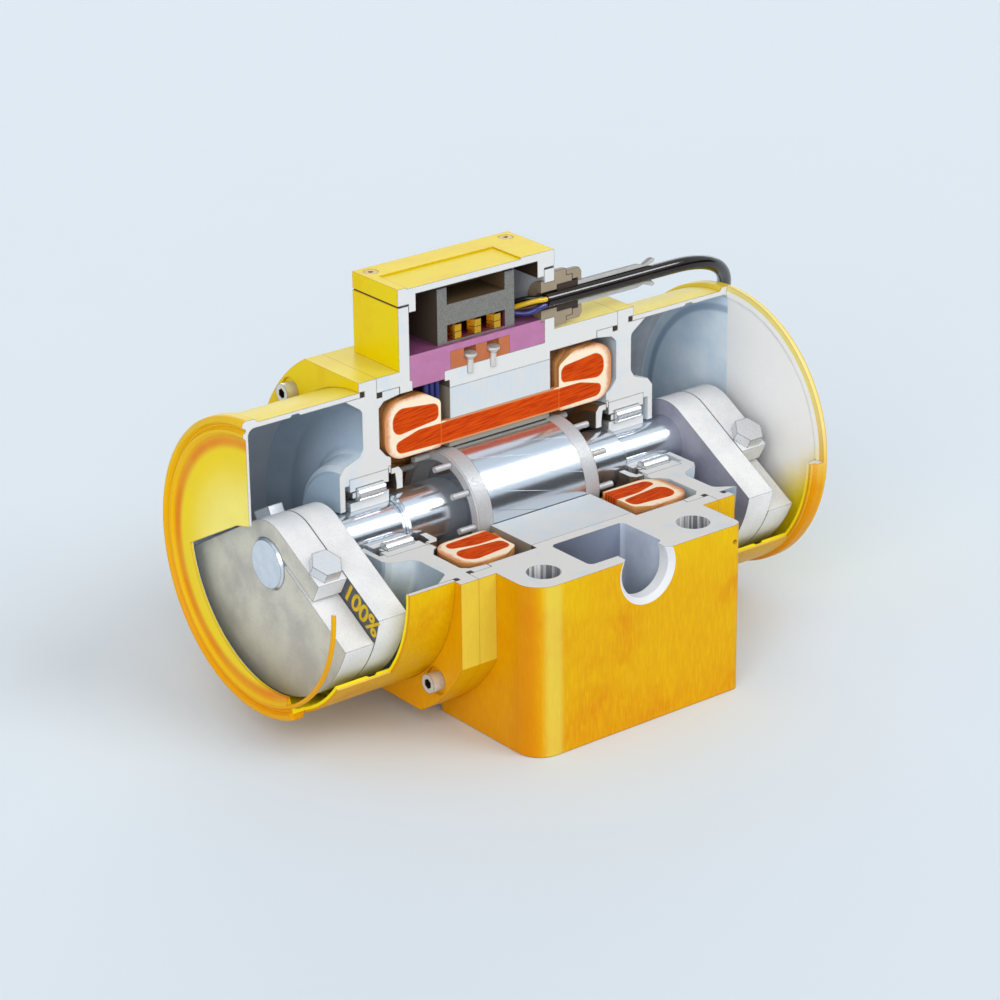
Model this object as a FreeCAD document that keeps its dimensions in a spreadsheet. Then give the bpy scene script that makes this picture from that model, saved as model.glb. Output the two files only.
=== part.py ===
import FreeCAD, Part
import math
import os
import Sketcher

"""Foot-mounted vibration motor, sectioned to show its inside.

X runs along the shaft, Y to the back and Z up, with the origin in the middle of the base.
The front upper quarter (y below 0, above the shaft line) is cut out of every fixed piece.
All lengths are in millimetres.
"""

Vector = FreeCAD.Vector
ACROSS_X = Vector(1, 0, 0)
ACROSS_Y = Vector(0, 1, 0)
ACROSS_Z = Vector(0, 0, 1)

# Driving dimensions
SIZES = [
    ("axis_height", 118.5, "shaft line above the base"),
    ("flat_margin", 6.5, "flats of frame and flanges beyond the cover"),
    ("corner_margin", 11.3, "rounded frame corners beyond the shield screws"),
    ("housing_half_length", 100.6, "middle of the housing to its end face"),
    ("foot_half_length", 86.8, "half the foot block along the shaft"),
    ("foot_half_width", 142.7, "half the foot block across the shaft"),
    ("foot_rise", 32.0, "top of the foot block above the shaft line"),
    ("foot_corner_radius", 18.0, "left upright corners of the foot block"),
    ("foot_right_corner_radius", 6.0, "right upright corners of the foot block"),
    ("foot_top_round", 4.0, "upper edges of the foot block"),
    ("foot_bolt_half_x", 62.5, "foot hole from the middle, along the shaft"),
    ("foot_bolt_half_y", 121.5, "foot hole from the middle, across the shaft"),
    ("foot_hole_radius", 11.0, "holes for M20 foot bolts"),
    ("relief_half_width", 45.0, "half the shallow channel under the housing"),
    ("relief_depth", 4.0, "depth of that channel"),
    ("pocket_half_length", 30.0, "half the cored pocket between two foot holes"),
    ("pocket_shift", 3.0, "pocket this far to the left of the middle"),
    ("pocket_inner_wall", 8.5, "wall between stator seat and pocket"),
    ("pocket_outer_wall", 10.7, "wall between pocket and outside"),
    ("pocket_floor", 22.0, "floor of the pocket above the base"),
    ("pocket_roof", 9.0, "roof of the pocket on the uncut side"),
    ("pocket_corner_radius", 4.0, "upright corners of the pocket"),
    ("side_hole_radius", 19.5, "round hole from the side into the pocket"),
    ("side_hole_shift", 6.0, "that hole this far to the right of the middle"),
    ("side_hole_drop", 11.0, "that hole below the shaft line"),
    ("side_hole_chamfer", 3.1, "chamfer round its outer edge"),
    ("earth_hole_radius", 1.6, "small screw hole in the front and back of the foot block"),
    ("earth_hole_x", 80.4, "that hole from the middle"),
    ("earth_hole_drop", 11.9, "that hole below the shaft line"),
    ("earth_hole_depth", 12.0, "that hole"),
    ("stator_radius", 83.5, "outside of the stator core and its seat"),
    ("stator_half_length", 42.0, "half the stack of the stator core"),
    ("chamber_radius", 89.0, "bore round the end windings"),
    ("spigot_radius", 94.0, "bore that centres the end shields"),
    ("spigot_length", 18.4, "depth of that bore"),
    ("spigot_clearance", 0.05, "radial play of the shield in its bore"),
    ("box_left", 82.3, "middle of the motor to the left wall of the terminal box"),
    ("box_right", 46.0, "middle of the motor to the right wall of the terminal box"),
    ("box_half_width", 49.0, "half the terminal box across the shaft"),
    ("box_wall", 8.4, "wall of the terminal box"),
    ("box_rise", 146.9, "rim of the terminal box above the shaft line"),
    ("box_floor_rise", 96.0, "floor of the terminal box above the shaft line"),
    ("box_post_radius", 8.0, "corner posts that take the lid screws"),
    ("passage_left", 72.0, "lead passage: its far edge from the middle"),
    ("passage_right", 46.0, "lead passage: its near edge from the middle"),
    ("passage_half_width", 20.0, "half the lead passage across the shaft"),
    ("gasket_thickness", 1.2, "gasket under the lid"),
    ("lid_height", 11.4, "lid above its gasket"),
    ("lid_plate", 5.5, "thickness of the top of the lid"),
    ("lid_lip_width", 5.8, "lip of the lid inside the box"),
    ("lid_lip_depth", 4.5, "how far that lip reaches below the box rim"),
    ("lid_panel_depth", 1.0, "recessed panel in the lid"),
    ("lid_panel_left", 75.0, "left end of the panel from the middle"),
    ("lid_panel_right", 18.0, "right end of the panel from the middle"),
    ("lid_panel_half_width", 30.0, "half the panel across the shaft"),
    ("lid_screw_inset", 8.6, "lid screws in from the outside of the box"),
    ("lid_screw_radius", 2.5, "shank of the lid screws"),
    ("lid_screw_head_radius", 4.8, "countersunk head of the lid screws"),
    ("lid_screw_length", 22.0, "whole lid screw"),
    ("fit_clearance", 0.1, "radial play of screws, studs and pins in their holes"),
    ("flange_thickness", 14.2, "flange of the end shield"),
    ("web_inner_x", 99.3, "inner face of the shield web"),
    ("web_thickness", 13.3, "shield web"),
    ("boss_inner_x", 90.6, "inner end of the bearing boss"),
    ("boss_end_x", 131.8, "outer end of the bearing boss"),
    ("boss_wall", 7.5, "wall round the bearing at the inner end"),
    ("boss_nose_radius", 44.0, "outer end of the boss"),
    ("boss_cone_radius", 53.8, "foot of the boss cone at the web"),
    ("cover_spigot_x", 125.5, "end of the spigot that carries the cover"),
    ("cover_spigot_taper", 9.2, "spigot thickens inwards by this much at the web"),
    ("seal_groove_depth", 3.6, "grooves for the seal rings"),
    ("seal_wire_radius", 1.8, "section of the seal rings"),
    ("shaft_lip_clearance", 1.5, "shaft to the lip of the boss"),
    ("screw_radius", 4.0, "shank of the shield screws"),
    ("screw_length", 34.0, "shank of the shield screws"),
    ("screw_margin", 10.9, "shield screws beyond the cover, on the diagonals"),
    ("screw_head_radius", 6.5, "head of the shield screws"),
    ("screw_head_height", 9.0, "head of the shield screws"),
    ("screw_socket_radius", 3.4, "hexagon socket, over corners"),
    ("screw_socket_depth", 4.5, "hexagon socket"),
    ("spotface_radius", 9.5, "spotface round a shield screw"),
    ("spotface_depth", 2.0, "depth of that spotface"),
    ("cover_radius", 97.5, "outside of the cover"),
    ("cover_wall", 3.5, "wall of the cover"),
    ("cover_seat_gap", 1.0, "open mouth of the cover inside the flange face"),
    ("cover_end_x", 204.5, "outer rim of the cover from the middle"),
    ("cover_bead_rise", 2.5, "bead of the rim above the wall"),
    ("cover_bead_width", 10.0, "bead of the rim along the shaft"),
    ("cover_ridge_inset", 6.9, "ridge of the rim inside the outside of the cover"),
    ("cover_disc_inset", 10.5, "flat end disc inside the outside of the cover"),
    ("cover_disc_recess", 2.4, "end disc behind the rim"),
    ("cover_disc_thickness", 2.0, "end disc"),
    ("cover_groove_x", 164.0, "pressed groove inside the cover"),
    ("cover_groove_width", 8.0, "width of that groove"),
    ("cover_groove_depth", 1.4, "depth of that groove"),
    ("window_start_x", 150.0, "near edge of the side window of the left cover"),
    ("right_window_start_x", 106.0, "near edge of the side window of the right cover"),
    ("rim_window_x", 192.0, "start of the deeper window in the left rim"),
    ("window_end_x", 189.5, "far edge of the side window of the right cover"),
    ("side_window_angle", 38.0, "side windows of the covers, down from the level section"),
    ("rim_window_angle", 66.0, "window in the rim of the left cover, down from the level section"),
    ("window_arc_width", 2.6, "rim arc left in front of the left window"),
    ("end_window_shift", 17.2, "window in the left end moved to the front of the shaft line"),
    ("end_window_lift", 9.1, "that window moved up"),
    ("shaft_radius", 17.5, "shaft at the bearings and weights"),
    ("shaft_half_length", 190.5, "middle of the shaft to its end"),
    ("shaft_shoulder_x", 92.4, "shoulder behind the bearing"),
    ("shaft_middle_radius", 22.0, "shaft between the bearings"),
    ("shaft_chamfer", 1.5, "chamfer on the shaft ends and shoulders"),
    ("bearing_width", 31.0, "bearing rings"),
    ("bearing_outer_radius", 40.0, "outside of the bearing"),
    ("bearing_race_outer", 33.3, "raceway in the outer ring"),
    ("bearing_race_inner", 23.7, "raceway on the inner ring"),
    ("bearing_outer_lip", 31.2, "lips of the outer ring"),
    ("bearing_inner_lip", 25.8, "lip of the inner ring"),
    ("roller_radius", 4.5, "bearing rollers"),
    ("roller_length", 21.0, "bearing rollers"),
    ("roller_play", 0.3, "end play of a roller between the lips"),
    ("cage_inner_radius", 26.6, "roller cage"),
    ("cage_outer_radius", 30.6, "roller cage"),
    ("cage_length", 27.0, "roller cage"),
    ("roller_count", 12.0, "roller places in a whole cage"),
    ("circlip_width", 1.6, "circlip behind the bearing"),
    ("circlip_depth", 1.8, "circlip groove"),
    ("grease_ring_outer", 39.6, "grease ring between circlip and winding"),
    ("grease_ring_inner", 24.0, "grease ring bore round the shaft"),
    ("grease_ring_length", 9.0, "grease ring along the shaft"),
    ("rotor_radius", 41.0, "rotor core"),
    ("rotor_half_length", 39.0, "half the rotor core"),
    ("air_gap", 0.7, "rotor to stator"),
    ("end_ring_length", 12.5, "cast ring on each end of the rotor"),
    ("end_ring_inner", 31.0, "bore of the cast ring"),
    ("end_ring_taper", 3.0, "the bore opens by this much"),
    ("peg_radius", 2.1, "pegs on the cast ring"),
    ("peg_length", 13.0, "pegs on the cast ring"),
    ("peg_count", 10.0, "pegs on each ring"),
    ("rotor_bar_radius", 2.6, "cast bars inside the rotor core"),
    ("rotor_bar_reach", 36.6, "cast bars from the shaft line"),
    ("rotor_bar_count", 20.0, "cast bars"),
    ("slot_count", 18.0, "slots of a whole stator core"),
    ("slot_width", 9.0, "stator slots"),
    ("slot_bottom", 62.0, "bottom of the slots from the shaft line"),
    ("slot_top", 45.6, "top of the slots from the shaft line"),
    ("slot_mouth", 3.0, "opening of the slots at the bore"),
    ("slot_liner", 1.2, "insulation inside the slots"),
    ("winding_end_x", 95.0, "outer end of the end windings"),
    ("winding_outer_radius", 85.0, "outside of the end windings"),
    ("winding_inner_radius", 44.4, "inside of the end windings"),
    ("winding_start_x", 49.5, "inner end of the wrapping"),
    ("winding_shoulder", 8.0, "wrapping slopes down by this much towards the core"),
    ("upper_coil_inner", 64.3, "outer coil: inside"),
    ("upper_coil_outer", 79.5, "outer coil: outside"),
    ("upper_coil_taper", 4.0, "outer coil narrows by this much towards the core"),
    ("upper_coil_start", 51.5, "outer coil: end next to the core"),
    ("upper_coil_end", 88.5, "outer coil: outer end"),
    ("lower_coil_end", 86.0, "inner coil: outer end"),
    ("lower_coil_taper", 5.0, "inner coil narrows by this much outwards"),
    ("weight_thickness", 22.0, "eccentric weights"),
    ("weight_clearance", 6.0, "eccentric weights inside the cover"),
    ("weight_start_x", 144.0, "inner face of the inner weight"),
    ("weight_gap", 0.5, "between inner and outer weight"),
    ("weight_hub_radius", 29.0, "hub of the weights"),
    ("weight_slope", 30.0, "flat edges of the weights, in degrees below level"),
    ("weight_bore_play", 0.05, "radial play of the outer weight on the shaft"),
    ("clamp_slit_offset", 12.0, "lower side of the clamp slit from the shaft line"),
    ("clamp_slit", 3.0, "clamp slit"),
    ("clamp_ear_length", 46.0, "clamp ear from the shaft line along the edge"),
    ("clamp_bolt_reach", 35.0, "clamp bolt from the shaft line along the edge"),
    ("clamp_bolt_radius", 6.0, "M12 clamp bolt"),
    ("clamp_bolt_length", 46.0, "M12 clamp bolt under its head"),
    ("clamp_head_flats", 19.0, "M12 hexagon head across flats"),
    ("clamp_head_height", 7.5, "M12 hexagon head"),
    ("key_width", 10.0, "key between shaft and inner weight"),
    ("key_height", 8.0, "key between shaft and inner weight"),
    ("key_length", 18.0, "key between shaft and inner weight"),
    ("key_seat", 5.0, "depth of the key seat in the shaft"),
    ("compound_rise", 113.0, "top of the sealing compound above the shaft line"),
    ("compound_bottom_rise", 90.5, "lower end of the compound in the passage"),
    ("board_left", 41.0, "terminal board: left end from the middle"),
    ("board_right", 8.0, "terminal board: right end from the middle"),
    ("board_thickness", 12.4, "terminal board"),
    ("board_width", 34.0, "terminal board across the shaft, on the uncut side"),
    ("board_screw_left", 25.0, "left board screw from the middle"),
    ("board_screw_right", 6.0, "right board screw from the middle"),
    ("board_screw_radius", 2.2, "board screws"),
    ("board_screw_head_radius", 4.6, "board screws"),
    ("board_screw_length", 14.0, "board screws"),
    ("board_screw_depth", 4.0, "heads of the board screws below the top of the board"),
    ("block_left", 49.0, "terminal block: left end from the middle"),
    ("block_right", 14.5, "terminal block: right end from the middle"),
    ("block_front", 3.0, "front of the terminal block behind the section"),
    ("block_depth", 31.4, "terminal block across the shaft"),
    ("block_height", 38.5, "terminal block"),
    ("block_leg", 8.0, "legs of the terminal block"),
    ("block_shelf_low", 12.5, "lower side of the shelf above the block's foot"),
    ("block_shelf_high", 26.5, "upper side of that shelf"),
    ("block_base", 1.2, "base of the terminal block under the nuts"),
    ("stud_pitch", 16.2, "terminals along the block"),
    ("stud_first", 32.0, "first terminal from the middle"),
    ("stud_back", 5.0, "terminals behind the section"),
    ("stud_radius", 2.5, "terminal studs"),
    ("stud_nut_flats", 9.4, "nuts on the terminals, across flats"),
    ("stud_nut_height", 4.8, "nuts on the terminals"),
    ("gland_drop", 21.9, "cable centre below the rim of the terminal box"),
    ("gland_inner_x", 34.5, "inner end of the gland"),
    ("gland_thread_radius", 12.5, "gland in the box wall"),
    ("gland_collar", 1.6, "collar of the gland inside the wall"),
    ("gland_body_radius", 19.0, "collar of the gland outside the wall"),
    ("gland_body_length", 10.0, "collar of the gland"),
    ("gland_nut_radius", 17.5, "cap nut of the gland"),
    ("gland_nut_length", 13.0, "cap nut of the gland"),
    ("gland_seal_radius", 9.5, "rubber seal in the gland"),
    ("sleeve_radius", 8.4, "anti-kink sleeve"),
    ("sleeve_end_x", 126.0, "anti-kink sleeve: straight end"),
    ("sleeve_lip_length", 6.0, "lip on the end of the sleeve"),
    ("sleeve_lip_rise", 2.0, "lip on the end of the sleeve"),
    ("cable_radius", 5.0, "cable sheath"),
    ("coil_radius", 62.5, "middle of the turns of the put-away cable"),
    ("free_end_length", 38.0, "straight free end of the put-away cable"),
    ("core_radius", 1.7, "insulated cores of the cable"),
    ("lead_back", 4.0, "winding leads behind the section"),
]


class Size:
    """A length or angle that knows its number and the expression that gives it."""

    def __init__(self, text, value):
        self.text = text
        self.value = value

    def __add__(self, other):
        return Size(f"({self.text} + {as_size(other).text})", self.value + as_size(other).value)

    def __radd__(self, other):
        return as_size(other) + self

    def __sub__(self, other):
        return Size(f"({self.text} - {as_size(other).text})", self.value - as_size(other).value)

    def __rsub__(self, other):
        return as_size(other) - self

    def __mul__(self, other):
        return Size(f"({self.text} * {as_size(other).text})", self.value * as_size(other).value)

    def __rmul__(self, other):
        return as_size(other) * self

    def __truediv__(self, other):
        return Size(f"({self.text} / {as_size(other).text})", self.value / as_size(other).value)

    def __neg__(self):
        return as_size(0) - self


def as_size(number):
    """A plain number as a Size; a Size as it is."""
    if isinstance(number, Size):
        return number
    return Size(f"{number:g}", number)


def cosine(angle):
    """Cosine of an angle in degrees."""
    return Size(f"cos({angle.text} * 1 deg)", math.cos(math.radians(angle.value)))


def sine(angle):
    """Sine of an angle in degrees."""
    return Size(f"sin({angle.text} * 1 deg)", math.sin(math.radians(angle.value)))


doc = FreeCAD.newDocument("vibration_motor")
sheet = doc.addObject("Spreadsheet::Sheet", "sizes")
for row, (alias, number, note) in enumerate(SIZES, start=1):
    sheet.set(f"A{row}", alias)
    sheet.set(f"B{row}", str(number))
    sheet.set(f"C{row}", note)
    sheet.setAlias(f"B{row}", alias)
doc.recompute()

nodes = {}


def size(alias):
    """The named driving dimension."""
    return Size(f"sizes.{alias}", float(sheet.get(alias)))


def bind(thing, prop, length):
    """Gives a property its value and the expression behind it."""
    length = as_size(length)
    thing.setExpression(prop, length.text)


def place(thing, x=0, y=0, z=0, turn=None):
    """Moves an object; turn is an axis and an angle in degrees."""
    x, y, z = as_size(x), as_size(y), as_size(z)
    rotation = FreeCAD.Rotation()
    if turn:
        rotation = FreeCAD.Rotation(turn[0], as_size(turn[1]).value)
    thing.Placement = FreeCAD.Placement(Vector(x.value, y.value, z.value), rotation)
    bind(thing, "Placement.Base.x", x)
    bind(thing, "Placement.Base.y", y)
    bind(thing, "Placement.Base.z", z)
    if turn and isinstance(turn[1], Size):
        bind(thing, "Placement.Rotation.Angle", turn[1])
    return thing


def node(name, thing):
    """Registers an object as the named sub-part."""
    thing.Label = name
    nodes[name] = thing
    return thing


def add_outline(body, role, corners):
    """A closed sketch of straight sides whose corners are bound to the sheet."""
    plane = next(item for item in body.Origin.OriginFeatures if item.Role == role)
    sketch = body.newObject("Sketcher::SketchObject", "Outline")
    sketch.AttachmentSupport = (plane, "")
    sketch.MapMode = "FlatFace"
    corners = [(as_size(u), as_size(v)) for u, v in corners]
    spots = [Vector(u.value, v.value, 0) for u, v in corners]
    sides = [
        sketch.addGeometry(Part.LineSegment(spot, spots[(k + 1) % len(spots)]), False)
        for k, spot in enumerate(spots)
    ]
    for k, side in enumerate(sides):
        sketch.addConstraint(Sketcher.Constraint("Coincident", side, 2, sides[(k + 1) % len(sides)], 1))
    for side, corner in zip(sides, corners):
        for kind, length in zip(("DistanceX", "DistanceY"), corner):
            index = sketch.addConstraint(Sketcher.Constraint(kind, -1, 1, side, 1, length.value))
            sketch.setExpression(f"Constraints[{index}]", length.text)
    return sketch


def turned(name, corners, arc=270, height=None):
    """A profile of (x, radius) corners turned about the shaft line, or about a line at height.

    An arc under 360 degrees leaves out the front upper part, next to the section planes.
    """
    body = doc.addObject("PartDesign::Body", name)
    sketch = add_outline(body, "XZ_Plane", corners)
    turn = body.newObject("PartDesign::Revolution", "Turn")
    turn.Profile = sketch
    turn.ReferenceAxis = (sketch, ["H_Axis"])
    turn.Angle = arc
    turn.Reversed = True
    place(body, z=size("axis_height") if height is None else height)
    doc.recompute()
    return body


def prism(name, corners, start, length):
    """A profile of (y, z) corners about the shaft line, extruded along the shaft."""
    body = doc.addObject("PartDesign::Body", name)
    sketch = add_outline(body, "YZ_Plane", corners)
    pad = body.newObject("PartDesign::Pad", "Pad")
    pad.Profile = sketch
    bind(pad, "Length", length)
    place(body, x=start, z=size("axis_height"))
    doc.recompute()
    return body


def round_edges(body, radius, chosen):
    """Rounds those edges of a body's last feature for which chosen(edge) is true."""
    tip = body.Tip
    names = [f"Edge{k}" for k, edge in enumerate(tip.Shape.Edges, start=1) if chosen(edge)]
    rounding = body.newObject("PartDesign::Fillet", "Rounding")
    rounding.Base = (tip, names)
    bind(rounding, "Radius", radius)
    doc.recompute()
    return body


def ring_at(x, radius):
    """Chooses the circular edges about the shaft line at one place and radius."""
    x, radius = as_size(x).value, as_size(radius).value

    def chosen(edge):
        curve = edge.Curve
        if not isinstance(curve, Part.Circle):
            return False
        return abs(curve.Center.x - x) < 0.01 and abs(curve.Radius - radius) < 0.01

    return chosen


def upright(edge):
    """Chooses straight edges along Z."""
    return isinstance(edge.Curve, Part.Line) and abs(edge.tangentAt(edge.FirstParameter).z) > 0.99


def block(name, x, y, z):
    """A rectangular block between two values on each axis."""
    thing = doc.addObject("Part::Box", name)
    bind(thing, "Length", as_size(x[1]) - x[0])
    bind(thing, "Width", as_size(y[1]) - y[0])
    bind(thing, "Height", as_size(z[1]) - z[0])
    return place(thing, x[0], y[0], z[0])


TURNS = {"x": (ACROSS_Y, 90), "y": (ACROSS_X, -90), "z": None}


def rod(name, radius, length, x=0, y=0, z=0, along="z"):
    """A round rod from a point along X, Y or Z."""
    thing = doc.addObject("Part::Cylinder", name)
    bind(thing, "Radius", radius)
    bind(thing, "Height", length)
    return place(thing, x, y, z, TURNS[along])


def cone(name, low, high, length, x=0, y=0, z=0):
    """An upright cone between two radii."""
    thing = doc.addObject("Part::Cone", name)
    bind(thing, "Radius1", low)
    bind(thing, "Radius2", high)
    bind(thing, "Height", length)
    return place(thing, x, y, z)


def hexagon(name, flats, length, x=0, y=0, z=0, along="z"):
    """A hexagonal prism of a given width across its flats."""
    thing = doc.addObject("Part::Prism", name)
    thing.Polygon = 6
    bind(thing, "Circumradius", as_size(flats) / (2 * math.cos(math.pi / 6)))
    bind(thing, "Height", length)
    return place(thing, x, y, z, TURNS[along])


def joined(name, things):
    """Several objects as one."""
    union = doc.addObject("Part::MultiFuse", name)
    union.Shapes = things
    union.Refine = True
    return union


def grouped(name, things):
    """Several separate objects as one group."""
    group = doc.addObject("Part::Compound", name)
    group.Links = things
    return group


def without(name, base, tools):
    """An object less several others."""
    result = doc.addObject("Part::Cut", name)
    result.Base = base
    result.Tool = tools[0] if len(tools) == 1 else grouped(f"{name}_tools", tools)
    result.Refine = True
    return result


def shared(name, things):
    """What several objects have in common."""
    result = doc.addObject("Part::MultiCommon", name)
    result.Shapes = things
    return result


def mirrored(name, source):
    """The same piece on the other end of the motor."""
    copy = doc.addObject("Part::Mirroring", name)
    copy.Source = source
    copy.Base = Vector(0, 0, 0)
    copy.Normal = ACROSS_X
    return copy


def pair(piece, right):
    """Registers the piece of the right end and its mirror on the left end."""
    node(f"right_{piece}", right)
    node(f"left_{piece}", mirrored(f"left_{piece}", right))


def turned_copies(name, source, angles):
    """Copies of one object's shape turned about the shaft line by angles in degrees."""
    doc.recompute()
    centre = Vector(0, 0, axis_height.value)
    copies = []
    for angle in angles:
        shape = source.Shape.copy()
        shape.rotate(centre, ACROSS_X, angle)
        copies.append(shape)
    group = doc.addObject("Part::Feature", name)
    group.Shape = Part.makeCompound(copies)
    return group


axis_height = size("axis_height")
FAR = 400
quarter = block("front_upper_quarter", (-FAR, FAR), (-FAR, 0), (axis_height, axis_height + FAR))

housing_half = size("housing_half_length")
cover_radius = size("cover_radius")
flat = cover_radius + size("flat_margin")
screw_reach = cover_radius + size("screw_margin")
corner = screw_reach + size("corner_margin")
flange_face = housing_half + size("flange_thickness")
fit = size("fit_clearance")


def rounded_square(name, start, length):
    """The frame's outline, a square with round corners, along the shaft."""
    bar = rod(f"{name}_round", corner, length, x=start, z=axis_height, along="x")
    flats = block(f"{name}_flats", (start, start + length), (-flat, flat),
                  (axis_height - flat, axis_height + flat))
    return shared(name, [bar, flats])


def screw_places():
    """The diagonal places (y, z) of the shield screws that the section leaves."""
    reach = screw_reach * math.sqrt(0.5)
    return [(reach, axis_height + reach), (reach, axis_height - reach), (-reach, axis_height - reach)]


# Motor housing
box_left, box_right = -size("box_left"), size("box_right")
box_half = size("box_half_width")
box_wall = size("box_wall")
box_rim = axis_height + size("box_rise")
box_floor = axis_height + size("box_floor_rise")
gland_height = box_rim - size("gland_drop")
lid_inset = size("lid_screw_inset")
lid_screw_x = (box_left + lid_inset, box_right - lid_inset)
lid_screw_y = box_half - lid_inset
foot_x, foot_y = size("foot_half_length"), size("foot_half_width")
foot_top = axis_height + size("foot_rise")


def make_foot():
    """The foot block with its rounded upright corners and upper edges."""
    half = foot_x / 2
    body = doc.addObject("PartDesign::Body", "foot_block")
    corners = [(-foot_x, -foot_y), (foot_x, -foot_y), (foot_x, foot_y), (-foot_x, foot_y)]
    sketch = add_outline(body, "XY_Plane", corners)
    pad = body.newObject("PartDesign::Pad", "Pad")
    pad.Profile = sketch
    bind(pad, "Length", foot_top)
    doc.recompute()
    round_edges(body, size("foot_corner_radius"), lambda edge: upright(edge) and edge.BoundBox.XMin < 0)
    round_edges(body, size("foot_right_corner_radius"),
                lambda edge: upright(edge) and edge.BoundBox.XMin > half.value)
    top = foot_top.value
    return round_edges(body, size("foot_top_round"), lambda edge: abs(edge.BoundBox.ZMin - top) < 0.01)


def make_pocket(name, side):
    """A cored pocket between two foot holes with its round hole to the side; side is -1 or 1."""
    left = -size("pocket_half_length") - size("pocket_shift")
    right = size("pocket_half_length") - size("pocket_shift")
    inner = size("stator_radius") + size("pocket_inner_wall")
    outer = foot_y - size("pocket_outer_wall")
    near, far = (inner, outer) if side > 0 else (-outer, -inner)
    body = doc.addObject("PartDesign::Body", name)
    sketch = add_outline(body, "XY_Plane", [(left, near), (right, near), (right, far), (left, far)])
    pad = body.newObject("PartDesign::Pad", "Pad")
    pad.Profile = sketch
    bind(pad, "Length", foot_top - size("pocket_roof") - size("pocket_floor"))
    place(body, z=size("pocket_floor"))
    doc.recompute()
    round_edges(body, size("pocket_corner_radius"), upright)
    start = outer - 2 if side > 0 else -foot_y - 2
    length = size("pocket_outer_wall") + 4
    x, z = size("side_hole_shift"), axis_height - size("side_hole_drop")
    radius, chamfer = size("side_hole_radius"), size("side_hole_chamfer")
    hole = rod(f"{name}_hole", radius, length, x, start, z, "y")
    low, high = (radius, radius + chamfer) if side > 0 else (radius + chamfer, radius)
    rim = cone(f"{name}_rim", low, high, chamfer, 0, 0, 0)
    place(rim, x, foot_y - chamfer if side > 0 else -foot_y, z, (ACROSS_X, -90))
    depth = size("earth_hole_depth")
    earth = rod(f"{name}_earth_hole", size("earth_hole_radius"), depth + 1, size("earth_hole_x"),
                foot_y - depth if side > 0 else -foot_y - 1, axis_height - size("earth_hole_drop"), "y")
    return [body, hole, rim, earth]


def make_housing():
    """The cast housing with its bores, holes, pockets and terminal box."""
    frame = rounded_square("frame", -housing_half, housing_half * 2)
    box = block("box", (box_left, box_right), (-box_half, box_half),
                (axis_height + size("chamber_radius"), box_rim))
    cast = joined("casting", [frame, make_foot(), box])
    cavity = block(
        "box_cavity",
        (box_left + box_wall, box_right - box_wall),
        (box_wall - box_half, box_half - box_wall),
        (box_floor, box_rim + 1),
    )
    posts = [
        rod("box_post", size("box_post_radius"), size("box_rise"), x, y, axis_height)
        for x in lid_screw_x
        for y in (-lid_screw_y, lid_screw_y)
    ]
    post_holes = [
        rod("post_hole", size("lid_screw_radius") + fit, size("lid_screw_length"), x, y, box_rim - 16)
        for x in lid_screw_x
        for y in (-lid_screw_y, lid_screw_y)
    ]
    passage = block(
        "lead_passage",
        (-size("passage_left"), -size("passage_right")),
        (-size("passage_half_width"), size("passage_half_width")),
        (axis_height + size("stator_radius"), box_floor + 1),
    )
    spigot_start = housing_half - size("spigot_length")
    bores = [
        rod("stator_seat", size("stator_radius"), housing_half * 2 + 2, -housing_half - 1, 0, axis_height,
            "x"),
        rod("left_chamber", size("chamber_radius"), FAR, -FAR - size("stator_half_length"), 0,
            axis_height, "x"),
        rod("right_chamber", size("chamber_radius"), FAR, size("stator_half_length"), 0, axis_height, "x"),
        rod("left_spigot_bore", size("spigot_radius"), FAR, -FAR - spigot_start, 0, axis_height, "x"),
        rod("right_spigot_bore", size("spigot_radius"), FAR, spigot_start, 0, axis_height, "x"),
    ]
    foot_holes = [
        rod("foot_hole", size("foot_hole_radius"), foot_top + 2, x, y, -1)
        for x in (-size("foot_bolt_half_x"), size("foot_bolt_half_x"))
        for y in (-size("foot_bolt_half_y"), size("foot_bolt_half_y"))
    ]
    depth = size("screw_length") - flange_face + housing_half + size("spotface_depth") + 3
    screw_holes = [
        rod("screw_hole", size("screw_radius") + fit, depth, x, y, z, "x")
        for x in (-housing_half, housing_half - depth)
        for y, z in screw_places()
    ]
    gland_hole = rod("gland_hole", size("gland_thread_radius") + fit, box_wall + 2,
                     box_right - box_wall - 1, 0,
                     gland_height, "x")
    relief = block("base_relief", (-foot_x - 1, foot_x + 1),
                   (-size("relief_half_width"), size("relief_half_width")),
                   (-1, size("relief_depth")))
    board_holes = [
        rod("board_hole", size("board_screw_radius") + fit, size("board_screw_length"), -x, 0,
            box_floor + size("board_thickness") - size("board_screw_depth") - size("board_screw_length"))
        for x in (size("board_screw_left"), size("board_screw_right"))
    ]
    hollow = without("box_hollow", cavity, posts)
    tools = [hollow, passage, gland_hole, relief, quarter]
    tools += post_holes + bores + foot_holes + screw_holes + board_holes
    tools += make_pocket("front_pocket", -1) + make_pocket("back_pocket", 1)
    node("motor_housing", without("motor_housing", cast, tools))


make_housing()


# End shields
seat_radius = size("bearing_outer_radius")
seat_start = size("boss_inner_x")
boss_end = size("boss_end_x")
web_inner = size("web_inner_x")
web_outer = web_inner + size("web_thickness")
bearing_start = size("shaft_shoulder_x") + 0.4
bearing_end = bearing_start + size("bearing_width")
cover_inner = cover_radius - size("cover_wall")
groove_depth = size("seal_groove_depth")
spigot = size("spigot_radius") - size("spigot_clearance")
circlip_x = bearing_start - size("circlip_width") - 0.3


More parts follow.
